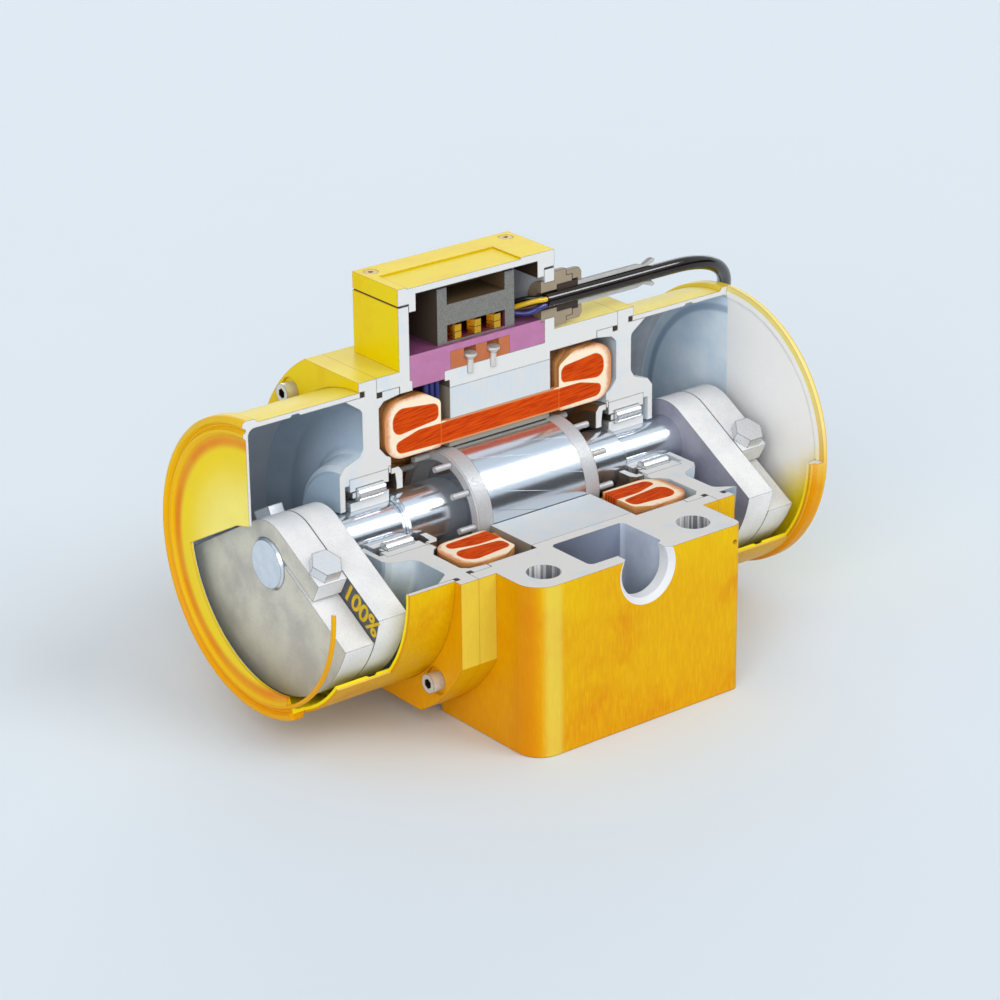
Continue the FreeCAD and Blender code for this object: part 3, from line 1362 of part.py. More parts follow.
def tube_path(points):
    """Straight runs joined by the largest arcs that both runs allow; returns edges and arc radii."""
    spots = [Vector(*point) for point in points]
    edges, radii = [], []
    start = spots[0]
    for before, here, after in zip(spots, spots[1:], spots[2:]):
        back, ahead = before - here, after - here
        half_turn = (math.pi - back.getAngle(ahead)) / 2
        radius = 0.45 * min(back.Length, ahead.Length) / math.tan(half_turn)
        reach = radius * math.tan(half_turn)
        back.normalize()
        ahead.normalize()
        entry, leave = here + back * reach, here + ahead * reach
        inward = back + ahead
        inward.normalize()
        centre = here + inward * (radius / math.cos(half_turn))
        crest = centre - inward * radius
        edges += [Part.LineSegment(start, entry).toShape(), Part.Arc(entry, crest, leave).toShape()]
        radii.append(radius)
        start = leave
    edges.append(Part.LineSegment(start, spots[-1]).toShape())
    return edges, radii


def swept_tube(points, radius):
    """A round solid along a route, with its volume compared with section times length."""
    edges, radii = tube_path(points)
    path = Part.Wire(edges)
    first = Vector(*points[1]) - Vector(*points[0])
    section = Part.Wire([Part.Circle(Vector(*points[0]), first, radius).toShape()])
    solid = path.makePipeShell([section], True, False)
    expected = math.pi * radius ** 2 * path.Length
    if abs(solid.Volume / expected - 1) > 0.01:
        raise ValueError(f"tube volume {solid.Volume:.0f} is not section times length {expected:.0f}")
    return solid, path.Length, radii


def make_cable():
    """The cable from the gland to the floor and its coil behind the motor."""
    tube, length, radii = swept_tube(CABLE_ROUTE, cable_radius.value)
    print("cable length", round(length, 1), "arc radii", [round(radius, 1) for radius in radii])
    cable = doc.addObject("Part::Feature", "supply_cable")
    cable.Shape = tube
    node("supply_cable", cable)
    wire = cable_radius
    middle_radius = size("coil_radius")
    coil = doc.addObject("PartDesign::Body", "cable_coil")
    sketch = add_outline(coil, "XZ_Plane", [
        (middle_radius - wire * 2, 0), (middle_radius + wire * 2, 0),
        (middle_radius + wire * 2, wire * 4), (middle_radius - wire * 2, wire * 4),
    ])
    turn = coil.newObject("PartDesign::Revolution", "Turn")
    turn.Profile = sketch
    turn.ReferenceAxis = (sketch, ["V_Axis"])
    turn.Angle = 360
    place(coil, COIL_CENTRE[0], COIL_CENTRE[1], 0)
    doc.recompute()
    round_edges(coil, wire * 0.9, lambda edge: isinstance(edge.Curve, Part.Circle))
    free_end = rod("cable_free_end", wire, size("free_end_length"), COIL_CENTRE[0] - size("free_end_length"),
                   middle_radius + wire + COIL_CENTRE[1], wire * 3, "x")
    node("cable_coil", joined("cable_coil", [coil, free_end]))


def core_tubes(name, routes):
    """Insulated cores along their own routes, as one group."""
    tubes = [swept_tube(route, size("core_radius").value)[0] for route in routes]
    cores = doc.addObject("Part::Feature", name)
    cores.Shape = Part.makeCompound(tubes)
    node(name, cores)


def make_cores():
    """Cores from the sheath to the terminals, bare cores at the free end, and the winding's leads."""
    core_tubes("cable_cores", [
        [(37.7, -2.0, exit_z - 2.0), (34.0, -2.0, exit_z - 2.0), (29.0, -2.4, exit_z - 3.2),
         (24.0, 1.5, exit_z - 5.9), (19.0, 7.6, exit_z - 6.0), (11.0, 9.4, exit_z - 4.5),
         (6.3, 9.4, exit_z - 4.5)],
        [(37.7, -2.0, exit_z + 2.0), (34.0, -2.0, exit_z + 2.2), (29.0, -1.6, exit_z + 2.8),
         (24.0, 2.5, exit_z + 0.8), (19.0, 9.5, exit_z - 2.6), (11.0, 13.0, exit_z - 4.4),
         (6.3, 13.0, exit_z - 4.5)],
        [(37.7, 2.0, exit_z - 2.0), (34.0, 2.2, exit_z - 2.1), (29.5, 5.5, exit_z - 3.8),
         (24.5, 11.0, exit_z - 5.7), (18.5, 15.0, exit_z - 5.2), (11.0, 16.6, exit_z - 4.5),
         (4.0, 16.6, exit_z - 4.5)],
        [(37.7, 2.0, exit_z + 2.0), (34.0, 2.2, exit_z + 2.1), (29.5, 6.5, exit_z + 2.5),
         (24.5, 13.5, exit_z - 0.3), (18.5, 18.5, exit_z - 3.3), (11.0, 20.2, exit_z - 4.4),
         (4.0, 20.2, exit_z - 4.5)],
    ])
    wire = cable_radius.value
    start = COIL_CENTRE[0] - size("free_end_length").value
    y = COIL_CENTRE[1] + size("coil_radius").value + wire
    z = wire * 3
    core_tubes("cable_end_cores", [
        [(start, y + 2.0 * side, z + 2.0 * level), (start - 11, y + 2.4 * side, z + 2.2 * level),
         (start - 23, y + 4.0 * side, z + 3.0 * level - 1),
         (start - 34, y + 4.4 * side, z + 3.2 * level - 3)]
        for side in (-1, 1) for level in (-1, 1)
    ])
    low = size("winding_outer_radius") - size("winding_shoulder") - 2
    leads = [
        rod("winding_lead", size("core_radius"), size("compound_bottom_rise") - low,
            -size("passage_right") - x,
            size("lead_back"), axis_height + low)
        for x in (3.5, 8, 12.5)
    ]
    node("winding_leads", without("winding_leads", grouped("winding_lead_rods", leads), [left_wrap]))


make_cable()
make_cores()


def export():
    """Checks every object and writes one file for each sub-part."""
    doc.recompute()
    failed = [item.Name for item in doc.Objects if {"Invalid", "Error"} & set(item.State)]
    if failed:
        raise ValueError(f"objects failed: {failed}")
    os.makedirs("parts", exist_ok=True)
    for name, thing in nodes.items():
        shape = thing.Shape
        if shape.isNull() or not shape.isValid() or not shape.Solids:
            raise ValueError(f"{name} is not a sound solid")
        shape.exportStep(f"parts/{name}.step")
        print(f"{name}: {len(shape.Solids)} solids, {shape.Volume / 1000:.1f} cm3")


export()
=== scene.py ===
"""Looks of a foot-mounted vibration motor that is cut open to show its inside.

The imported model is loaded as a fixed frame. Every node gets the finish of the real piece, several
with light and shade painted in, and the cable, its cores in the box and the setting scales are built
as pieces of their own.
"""

import logging
import math
from dataclasses import dataclass
from enum import Enum
from functools import partial, reduce
from typing import Protocol, Sequence

import bpy
from mathutils import Matrix, Vector


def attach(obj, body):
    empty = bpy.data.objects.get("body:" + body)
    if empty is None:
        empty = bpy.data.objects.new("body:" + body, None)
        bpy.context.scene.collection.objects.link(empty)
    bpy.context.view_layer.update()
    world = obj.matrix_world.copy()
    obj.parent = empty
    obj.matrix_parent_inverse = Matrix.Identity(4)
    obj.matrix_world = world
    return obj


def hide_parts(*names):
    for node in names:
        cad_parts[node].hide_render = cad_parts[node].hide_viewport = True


Socket = bpy.types.NodeSocket
Material = bpy.types.Material
Colour = tuple[float, float, float]
Point = tuple[float, float, float]
Value = Socket | float
Tone = Socket | Colour
Coat = tuple[Value, Tone] | tuple[Value, Tone, float]

MM = 0.001
SHAFT_LINE = 118.5
ROOT = "stator"
ROTOR = "rotor"
# Slack of the two section planes in millimetres, and how squarely a cut face has to look at them.
CUT_SLACK = 0.2
CUT_FACING = 0.9
# Lean of a rounded normal where an edge starts to show, and where it shows in full.
EDGE_LEAN = (0.99, 0.86)
NOISE_ROUGHNESS = 0.55
COAT_ROUGHNESS = 0.08

log = logging.getLogger("vibration_motor")
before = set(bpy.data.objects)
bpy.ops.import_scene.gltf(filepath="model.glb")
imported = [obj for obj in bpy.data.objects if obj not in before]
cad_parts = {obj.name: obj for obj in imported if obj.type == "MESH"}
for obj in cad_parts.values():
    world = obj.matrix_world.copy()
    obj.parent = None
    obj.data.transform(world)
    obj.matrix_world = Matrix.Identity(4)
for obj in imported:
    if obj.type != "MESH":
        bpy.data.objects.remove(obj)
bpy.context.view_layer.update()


def srgb(red: int, green: int, blue: int) -> Colour:
    """Turns a colour as a screen shows it into the linear values that a shader takes.

    Args:
        red: Red from 0 to 255.
        green: Green from 0 to 255.
        blue: Blue from 0 to 255.

    Returns:
        The linear colour.
    """
    shares = [channel / 255 for channel in (red, green, blue)]
    return tuple(one / 12.92 if one <= 0.04045 else ((one + 0.055) / 1.055) ** 2.4 for one in shares)


def opaque(colour: Colour) -> tuple[float, float, float, float]:
    """The colour with full alpha, as colour sockets take it."""
    return (*colour, 1.0)


class Side(Enum):
    """An end of the motor, with its sign along the shaft."""

    LEFT = -1
    RIGHT = 1

    @property
    def word(self) -> str:
        """The side as node names spell it."""
        return self.name.lower()


class Graph:
    """Builds one material's nodes, with places in millimetres from the middle of the shaft."""

    def __init__(self, name: str) -> None:
        """Makes an empty material with a principled shader.

        Args:
            name: Name of the material.
        """
        self.material = bpy.data.materials.new(name)
        self.material.use_nodes = True
        self.tree = self.material.node_tree
        self.tree.nodes.clear()
        self.shader = self.tree.nodes.new("ShaderNodeBsdfPrincipled")
        output = self.tree.nodes.new("ShaderNodeOutputMaterial")
        self.tree.links.new(self.shader.outputs["BSDF"], output.inputs["Surface"])
        coordinates = self.tree.nodes.new("ShaderNodeTexCoord")
        self.place = self.vector("SCALE", self.vector("SUBTRACT", coordinates.outputs["Object"],
                                                      (0, 0, SHAFT_LINE * MM)), 1 / MM)
        self.x, self.y, self.z = self.parts(self.place)
        self.nx, self.ny, self.nz = self.parts(coordinates.outputs["Normal"])

    def put(self, socket: Socket, value: Value | Sequence[float]) -> None:
        """Links a socket to an input, or sets the input's value.

        Args:
            socket: The input.
            value: An output socket, a number or a tuple.
        """
        if isinstance(value, Socket):
            self.tree.links.new(value, socket)
        else:
            socket.default_value = value

    def vector(self, operation: str, first: Socket | Sequence[float],
               second: Socket | Sequence[float] | float = (0, 0, 0)) -> Socket:
        """One step of vector arithmetic.

        Args:
            operation: Name of Blender's vector operation.
            first: First vector.
            second: Second vector, or the factor of SCALE.

        Returns:
            The result.
        """
        node = self.tree.nodes.new("ShaderNodeVectorMath")
        node.operation = operation
        self.put(node.inputs[0], first)
        self.put(node.inputs["Scale"] if operation == "SCALE" else node.inputs[1], second)
        return node.outputs["Value" if operation in ("LENGTH", "DOT_PRODUCT") else "Vector"]

    def parts(self, vector: Socket) -> tuple[Socket, Socket, Socket]:
        """The three parts of a vector."""
        node = self.tree.nodes.new("ShaderNodeSeparateXYZ")
        self.put(node.inputs[0], vector)
        return node.outputs[0], node.outputs[1], node.outputs[2]

    def join(self, x: Value, y: Value, z: Value) -> Socket:
        """A vector of three parts."""
        node = self.tree.nodes.new("ShaderNodeCombineXYZ")
        for socket, value in zip(node.inputs, (x, y, z)):
            self.put(socket, value)
        return node.outputs[0]

    def math(self, operation: str, *values: Value) -> Socket:
        """One step of arithmetic.

        Args:
            operation: Name of Blender's math operation.
            values: Its inputs.

        Returns:
            The result.
        """
        node = self.tree.nodes.new("ShaderNodeMath")
        node.operation = operation
        for socket, value in zip(node.inputs, values):
            self.put(socket, value)
        return node.outputs[0]

    def plus(self, first: Value, second: Value) -> Socket:
        """The sum of two values."""
        return self.math("ADD", first, second)

    def minus(self, first: Value, second: Value) -> Socket:
        """The first value less the second."""
        return self.math("SUBTRACT", first, second)

    def times(self, first: Value, second: Value) -> Socket:
        """The product of two values."""
        return self.math("MULTIPLY", first, second)

    def size(self, value: Socket) -> Socket:
        """A value without its sign."""
        return self.math("ABSOLUTE", value)

    def off(self, value: Socket, middle: float) -> Socket:
        """How far a value is from a middle."""
        return self.size(self.minus(value, middle))

    def wave(self, phase: Socket) -> Socket:
        """A sine wave between 0 and 1."""
        return self.math("MULTIPLY_ADD", self.math("SINE", phase), 0.5, 0.5)

    def all_of(self, *masks: Socket) -> Socket:
        """1 where every mask is 1."""
        return reduce(self.times, masks)

    def any_of(self, *masks: Socket) -> Socket:
        """1 where at least one mask is 1."""
        return reduce(partial(self.math, "MAXIMUM"), masks)

    def below(self, value: Socket, limit: float) -> Socket:
        """1 where a value is under a limit."""
        return self.math("LESS_THAN", value, limit)

    def above(self, value: Socket, limit: float) -> Socket:
        """1 where a value is over a limit."""
        return self.math("GREATER_THAN", value, limit)

    def between(self, value: Socket, low: float, high: float) -> Socket:
        """1 where a value lies between two limits."""
        return self.all_of(self.above(value, low), self.below(value, high))

    def ramp(self, value: Socket, low: float, high: float, start: float = 0.0, end: float = 1.0) -> Socket:
        """A smooth rise from start to end as a value goes from low to high."""
        node = self.tree.nodes.new("ShaderNodeMapRange")
        node.interpolation_type = "SMOOTHSTEP"
        for socket, number in zip(node.inputs[:5], (value, low, high, start, end)):
            self.put(socket, number)
        return node.outputs[0]

    def put_colour(self, socket: Socket, colour: Tone) -> None:
        """Links a colour to an input, or sets the input's colour with full alpha."""
        self.put(socket, colour if isinstance(colour, Socket) else opaque(colour))

    def mix(self, share: Value, first: Tone, second: Tone,
            strength: float = 1.0) -> Socket:
        """A blend of two colours.

        Args:
            share: Share of the second colour.
            first: Colour at share 0.
            second: Colour at share 1.
            strength: What the share is scaled by.

        Returns:
            The blended colour.
        """
        node = self.tree.nodes.new("ShaderNodeMix")
        node.data_type = "RGBA"
        self.put(node.inputs[0], share if strength == 1.0 else self.times(share, strength))
        for socket, colour in zip(node.inputs[6:8], (first, second)):
            self.put_colour(socket, colour)
        return node.outputs[2]

    def layers(self, base: Tone, *coats: Coat) -> Socket:
        """Lays colours over a base one after another.

        Args:
            base: The lowest colour.
            coats: For each layer where it shows, its colour and, where it isn't 1, its strength.

        Returns:
            The colour on top.
        """
        for share, colour, *strength in coats:
            base = self.mix(share, base, colour, *strength)
        return base

    def choose(self, mask: Socket, without: Value, having: Value) -> Socket:
        """A number that depends on a mask."""
        node = self.tree.nodes.new("ShaderNodeMix")
        self.put(node.inputs[0], mask)
        self.put(node.inputs[2], without)
        self.put(node.inputs[3], having)
        return node.outputs[0]

    def noise(self, size: float, detail: float = 4.0, stretch: Point = (1, 1, 1)) -> Socket:
        """Cloudy noise about 0.5.

        Args:
            size: Size of its blotches in millimetres.
            detail: Octaves.
            stretch: How many times longer the blotches are along X, Y and Z.

        Returns:
            The noise value.
        """
        node = self.tree.nodes.new("ShaderNodeTexNoise")
        scaled = self.vector("DIVIDE", self.place, tuple(size * part for part in stretch))
        self.put(node.inputs["Vector"], scaled)
        node.inputs["Scale"].default_value = 1.0
        node.inputs["Detail"].default_value = detail
        node.inputs["Roughness"].default_value = NOISE_ROUGHNESS
        return node.outputs[0]

    def radius(self) -> Socket:
        """Distance from the shaft line."""
        return self.vector("LENGTH", self.join(0.0, self.y, self.z))

    def turn(self) -> Socket:
        """Angle about the shaft line, in radians."""
        return self.math("ARCTAN2", self.z, self.y)

    def section(self) -> Socket:
        """1 on the two faces that the missing quarter leaves."""
        upright = self.all_of(self.below(self.size(self.y), CUT_SLACK), self.below(self.ny, -CUT_FACING),
                              self.above(self.z, -CUT_SLACK))
        level = self.all_of(self.below(self.size(self.z), CUT_SLACK), self.above(self.nz, CUT_FACING),
                            self.below(self.y, CUT_SLACK))
        return self.any_of(upright, level)

    def within(self, across: float, up: float, radius: float, axis: str = "z") -> Socket:
        """1 inside a round hole along one axis.

        Args:
            across: Centre along X in millimetres.
            up: Centre along the other axis of the hole's plane.
            radius: Radius of the hole.
            axis: The hole's axis, z or y.

        Returns:
            The mask.
        """
        second = self.y if axis == "z" else self.z
        spot = self.join(self.minus(self.x, across), self.minus(second, up), 0.0)
        return self.below(self.vector("LENGTH", spot), radius)

    def edge(self, width: float = 0.8) -> Socket:
        """Rises to 1 along the piece's sharp edges.

        Args:
            width: Reach of the edge in millimetres.

        Returns:
            The mask.
        """
        rounded = self.tree.nodes.new("ShaderNodeBevel")
        rounded.samples = 4
        rounded.inputs["Radius"].default_value = width * MM
        geometry = self.tree.nodes.new("ShaderNodeNewGeometry")
        lean = self.vector("DOT_PRODUCT", rounded.outputs[0], geometry.outputs["Normal"])
        return self.ramp(lean, *EDGE_LEAN)

    def bump(self, height: Socket, depth: float) -> None:
        """Raises the surface by a height.

        Args:
            height: Height from 0 to 1.
            depth: Depth of that range in millimetres.
        """
        node = self.tree.nodes.new("ShaderNodeBump")
        node.inputs["Distance"].default_value = depth * MM
        self.put(node.inputs["Height"], height)
        self.put(self.shader.inputs["Normal"], node.outputs["Normal"])

    def finish(self, colour: Tone, roughness: Value, metal: Value = 0.0,
               coat: float = 0.0, shine: float = 0.5) -> Material:
        """Sets the shader's main inputs.

        Args:
            colour: Base colour.
            roughness: Roughness.
            metal: Share of metal.
            coat: Clear coat.
            shine: Strength of the surface reflection.

        Returns:
            The finished material.
        """
        shader = self.shader.inputs
        self.put_colour(shader["Base Color"], colour)
        self.put(shader["Roughness"], roughness)
        self.put(shader["Metallic"], metal)
        shader["Specular IOR Level"].default_value = shine
        if coat:
            shader["Coat Weight"].default_value = coat
            shader["Coat Roughness"].default_value = COAT_ROUGHNESS
        return self.material


SECTION_WHITE = srgb(222, 223, 222)
SECTION_BLUE = srgb(206, 219, 229)
# Enamel yellow above, and the amber and orange of its painted shade lower down.
UPPER_YELLOW = srgb(232, 208, 0)
AMBER = srgb(219, 163, 0)
ORANGE = srgb(212, 124, 0)
LINE_BROWN = srgb(64, 52, 44)
BOX_BROWN = srgb(58, 44, 33)
# Painted shade on the left half of the winding chamber, and the pale blue-grey of its right half.
CHAMBER_SHADE_BROWN = srgb(96, 82, 72)
CHAMBER_BLUE = srgb(184, 200, 212)

# Places in millimetres from the middle of the shaft: spans and reaches along X, depths along Y,
# heights along Z, and radii about the shaft. The pairs of bead, disc, shield faces and stator seat
# are a reach and a radius, and the side hole is a middle along X and Z with a radius.
# Middles along X of the painted highlight stripe on the foot's rounded front corner and of the painted shade
# on its left face, and the height below which both show.
HIGHLIGHT_STRIPE_X = -71.0
SHADE_X = -86.0
SHADE_TOP = 40.0
FLANGE_FLATS = (-108.0, -99.0)
BLOCK_CORNER_Y = -124.0
SCREW_PLACE = 76.65
SOCKET_REACH = 121.7
COVER_BORE = 95.9
COVER_INSIDE_END = 200.35
COVER_OUTSIDE_END = 200.4
COVER_BEAD = (192.0, 89.5)
COVER_DISC = (196.0, 91.0)
COVER_GROOVE = 82.0
SHIELD_OUTBOARD = (107.0, 94.2)
SHIELD_INBOARD = (100.4, 94.4)
SHIELD_CONE = (58.0, 54.0)
SHIELD_NOSE = 130.5
STATOR_SEAT = (101.0, 95.5)
LID_SPAN = (-74.6, 38.4)
LID_CEILING = 154.6
BOX_SPAN = (-74.4, 38.2)
BOX_DEPTH = 41.3
BOX_FLOOR = 89.0
POCKET_SPAN = (-33.4, 27.4)
POCKET_DEPTH = (91.6, 132.4)
POCKET_HEIGHT = (-97.2, 23.3)
SIDE_HOLE = (6.0, -11.0, 23.2)
SIDE_HOLE_DEPTH = 131.0
FOOT_HOLE_X = 62.5
FOOT_HOLE_Y = 121.5
FOOT_HOLE_RADIUS = 11.6


def section_tone(graph: Graph, cool: float = 0.0) -> Socket:
    """The pale tone of cut metal, with faint bluish clouds and a dark line along its edges.

    Args:
        graph: The material being built.
        cool: Extra share of the bluish tone.

    Returns:
        The colour.
    """
    clouds = graph.ramp(graph.noise(22, 3), 0.5 - cool * 0.4, 0.78)
    grain = graph.noise(0.9, 2)
    tone = graph.mix(clouds, SECTION_WHITE, SECTION_BLUE)
    tone = graph.mix(graph.ramp(grain, 0.35, 0.95, 0.0, 0.25), tone, srgb(208, 208, 208))
    return graph.mix(graph.edge(0.85), tone, LINE_BROWN, 0.9)


def enamel_tone(graph: Graph) -> Socket:
    """Yellow enamel with painted light and shade, slow orange clouds and darker edges.

    Args:
        graph: The material being built.

    Returns:
        The colour.
    """
    # Painted shade: amber and orange lower down, brighter yellow higher up.
    height = graph.plus(graph.z, graph.times(graph.noise(60, 3), 60.0))
    clouds = graph.ramp(graph.noise(26, 6, (1.6, 1, 1.3)), 0.46, 0.8, 0.0, 0.75)
    # Painted light on faces turned upwards, and painted shade low down on faces turned to the left.
    lit_tops = graph.all_of(graph.ramp(graph.nz, 0.35, 0.8), graph.ramp(graph.z, 118, 110))
    left = graph.times(graph.ramp(graph.nx, -0.2, -0.75, 0.0, 0.5), graph.ramp(graph.z, 60, 10))
    low = graph.below(graph.z, SHADE_TOP)
    # Painted light on the flats of the frame's front, left of the middle.
    flat = graph.all_of(graph.below(graph.ny, -0.95), graph.between(graph.y, *FLANGE_FLATS),
                        graph.below(graph.x, 0.0))
    # Painted shade on the foot's left face near its front corner, and a painted highlight stripe down that
    # corner.
    shade = graph.all_of(graph.ramp(graph.off(graph.x, SHADE_X), 8.0, 1.0),
                         graph.ramp(graph.y, FLANGE_FLATS[0], -136), low)
    highlight_stripe = graph.all_of(graph.ramp(graph.off(graph.x, HIGHLIGHT_STRIPE_X), 9.0, 3.0),
                          graph.below(graph.y, BLOCK_CORNER_Y), low)
    return graph.layers(
        AMBER,
        (graph.ramp(height, -20, 110), UPPER_YELLOW),
        (graph.ramp(height, -40, -90, 0.0, 0.6), srgb(216, 142, 0)),
        # Orange clouds, stronger lower down as painted shade.
        (graph.times(clouds, graph.ramp(graph.z, 90, -40, 0.3, 1.0)), ORANGE),
        (graph.ramp(graph.noise(1.1, 4, (1, 1, 9)), 0.4, 0.75, 0.0, 0.3), srgb(244, 208, 10)),
        (left, srgb(220, 142, 0)),
        (lit_tops, srgb(236, 226, 120), 0.4),
        (flat, srgb(226, 210, 80), 0.6),
        (shade, srgb(206, 112, 0), 0.5),
        (highlight_stripe, srgb(224, 206, 84), 0.6),
        (graph.edge(1.1), srgb(168, 92, 8), 0.6),
    )


class Casting(Enum):
    """Which cast or pressed piece an enamel belongs to."""

    HOUSING = "housing"
    SHIELD = "shield"
    COVER = "cover"
    LID = "lid"


@dataclass(frozen=True)
class EnamelFinish:
    """Yellow enamel outside, bare metal on the cut, and each piece's inside, with painted light and shade.
    """

    casting: Casting

    def inside(self, graph: Graph) -> tuple[Socket, Socket]:
        """Where the inside is, and its colour.

        Args:
            graph: The material being built.

        Returns:
            A mask and a colour.
        """
        if self.casting is Casting.COVER:
            return self.cover_inside(graph)
        if self.casting is Casting.SHIELD:
            return self.shield_inside(graph)
        if self.casting is Casting.LID:
            room = graph.all_of(graph.between(graph.x, *LID_SPAN), graph.below(graph.z, LID_CEILING),
                                graph.below(graph.size(graph.y), BOX_DEPTH))
            darker = tuple(part * 0.72 for part in BOX_BROWN)
            return room, graph.mix(graph.ramp(graph.noise(9, 4), 0.35, 0.7), BOX_BROWN, darker, 0.7)
        return self.housing_inside(graph)

    def cover_inside(self, graph: Graph) -> tuple[Socket, Socket]:
        """Inside of a cover: grey wall in painted shade, pale blue end behind, and in front
        near white painted light with yellow lower down.
        """
        radius, reach = graph.radius(), graph.size(graph.x)
        patch = graph.ramp(graph.noise(30, 4), 0.3, 0.75)
        mask = graph.all_of(graph.below(radius, COVER_BORE), graph.below(reach, COVER_INSIDE_END))
        end = graph.all_of(graph.above(reach, COVER_DISC[0]), graph.below(radius, COVER_DISC[1]))
        # Painted shade: the wall darkens deeper in and lightens towards the end.
        wall = graph.layers(srgb(176, 182, 190), (graph.ramp(reach, 150, 200), srgb(214, 218, 224)),
                            (patch, srgb(156, 164, 180), 0.5))
        ring = graph.ramp(graph.off(radius, COVER_GROOVE), 1.0, 4.0, 0.8, 0.0)
        blue = graph.layers(srgb(232, 244, 252), (patch, srgb(206, 228, 244)), (ring, srgb(150, 174, 198)))
        # Painted light: the end's front half is near white, yellow lower down.
        slant = graph.plus(graph.z, graph.times(graph.y, 0.8))
        low = graph.ramp(graph.plus(slant, graph.times(patch, 10.0)), -52, -94)
        low = graph.any_of(low, graph.below(graph.x, 0.0))
        front = graph.mix(low, srgb(246, 247, 246), srgb(246, 222, 24))
        return mask, graph.layers(wall, (end, blue), (graph.ramp(graph.y, 1.0, -1.0), front))

    def shield_inside(self, graph: Graph) -> tuple[Socket, Socket]:
        """Shield faces: blue-grey web, pale boss, winding side in painted brown shade at left, pale at
        right.
        """
        radius, reach = graph.radius(), graph.size(graph.x)
        patch = graph.ramp(graph.noise(26, 4), 0.3, 0.75)
        outer_reach, outer_radius = SHIELD_OUTBOARD
        inner_reach, inner_radius = SHIELD_INBOARD
        outboard = graph.all_of(graph.above(reach, outer_reach), graph.below(radius, outer_radius))
        inboard = graph.all_of(graph.below(reach, inner_reach), graph.below(radius, inner_radius))
        cone = graph.mix(patch, srgb(196, 212, 226), srgb(222, 232, 240))
        # Painted shade on the left half of the winding side, pale blue-grey on the right.
        chamber = graph.mix(graph.above(graph.x, 0.0), CHAMBER_SHADE_BROWN, CHAMBER_BLUE)
        return graph.any_of(outboard, inboard), graph.layers(
            # The web is painted darker towards its rim as shade, pale towards the boss.
            srgb(142, 156, 168),
            (graph.ramp(radius, 90, 54), srgb(186, 202, 218)),
            (patch, srgb(160, 178, 198), 0.5),
            (graph.ramp(radius, *SHIELD_CONE), cone),
            (graph.above(reach, SHIELD_NOSE), srgb(170, 190, 208)),
            (inboard, chamber),
        )

    def housing_inside(self, graph: Graph) -> tuple[Socket, Socket]:
        """Winding chamber in painted shade at left, terminal box, pockets and holes of the housing."""
        radius, reach, depth = graph.radius(), graph.size(graph.x), graph.size(graph.y)
        patch = graph.ramp(graph.noise(26, 4), 0.3, 0.75)
        bore = graph.all_of(graph.below(radius, STATOR_SEAT[1]), graph.below(reach, STATOR_SEAT[0]))
        cavity = graph.all_of(graph.between(graph.x, *BOX_SPAN), graph.below(depth, BOX_DEPTH),
                              graph.above(graph.z, BOX_FLOOR))
        pocket = graph.all_of(graph.between(graph.x, *POCKET_SPAN), graph.between(depth, *POCKET_DEPTH),
                              graph.between(graph.z, *POCKET_HEIGHT))
        side_hole = graph.all_of(graph.above(depth, SIDE_HOLE_DEPTH), graph.within(*SIDE_HOLE, "y"))
        foot_holes = graph.any_of(*(graph.within(x, y, FOOT_HOLE_RADIUS) for x in (-FOOT_HOLE_X, FOOT_HOLE_X)
                                    for y in (-FOOT_HOLE_Y, FOOT_HOLE_Y)))
        shade = graph.layers(srgb(88, 94, 108), (graph.ramp(graph.x, -30, 25), srgb(140, 150, 170)),
                             (graph.below(graph.nx, -0.5), srgb(196, 208, 226)),
                             (patch, srgb(128, 136, 158), 0.35))
        box = graph.mix(graph.ramp(graph.x, 6, 26), BOX_BROWN, srgb(196, 202, 208))
        bands = graph.ramp(graph.noise(3.0, 2, (1, 1, 40)), 0.4, 0.6)
        return graph.any_of(bore, cavity, pocket, side_hole, foot_holes), graph.layers(
            # Painted shade: the chamber's left half is dark brown, its right half pale blue-grey.
            CHAMBER_SHADE_BROWN,
            (graph.above(graph.x, 0.0), CHAMBER_BLUE),
            (patch, srgb(80, 84, 88), 0.5),
            (pocket, shade),
            (cavity, box),
            (side_hole, srgb(224, 226, 229)),
            (foot_holes, graph.mix(bands, srgb(120, 122, 126), srgb(226, 228, 230))),
        )

    def outside(self, graph: Graph) -> Socket:
        """The enamel, with painted highlights and painted orange shade on the ends and rims of the covers.
        """
        body = enamel_tone(graph)
        if self.casting is not Casting.COVER:
            return body
        radius, reach = graph.radius(), graph.size(graph.x)
        # Painted highlight in the disc's middle, a ring of painted shade, then yellow again.
        disc = graph.layers(
            srgb(246, 232, 120),
            (graph.ramp(radius, 40, 76), srgb(240, 210, 16)),
            (graph.ramp(radius, 77, 83), srgb(226, 128, 2)),
            (graph.ramp(radius, 84, 90), srgb(236, 190, 6)),
            (graph.ramp(graph.noise(40, 4), 0.3, 0.75), srgb(226, 200, 60), 0.3),
        )
        rim = graph.all_of(graph.above(reach, COVER_BEAD[0]), graph.above(radius, COVER_BEAD[1]))
        # Pale painted highlight on the right cover's upper front.
        pale_top_highlight = graph.all_of(graph.ramp(graph.z, -20, 30), graph.below(graph.y, 0.0),
                             graph.above(graph.x, 0.0), graph.below(graph.nx, 0.3))
        return graph.layers(
            body,
            (graph.above(reach, COVER_OUTSIDE_END), disc),
            # Painted orange shade on the rim, stronger lower down.
            (graph.times(rim, graph.ramp(graph.z, 60, -60, 0.1, 0.6)), srgb(230, 142, 0)),
            (pale_top_highlight, srgb(246, 240, 170), 0.6),
            (graph.edge(1.0), srgb(196, 104, 4), 0.7),
        )

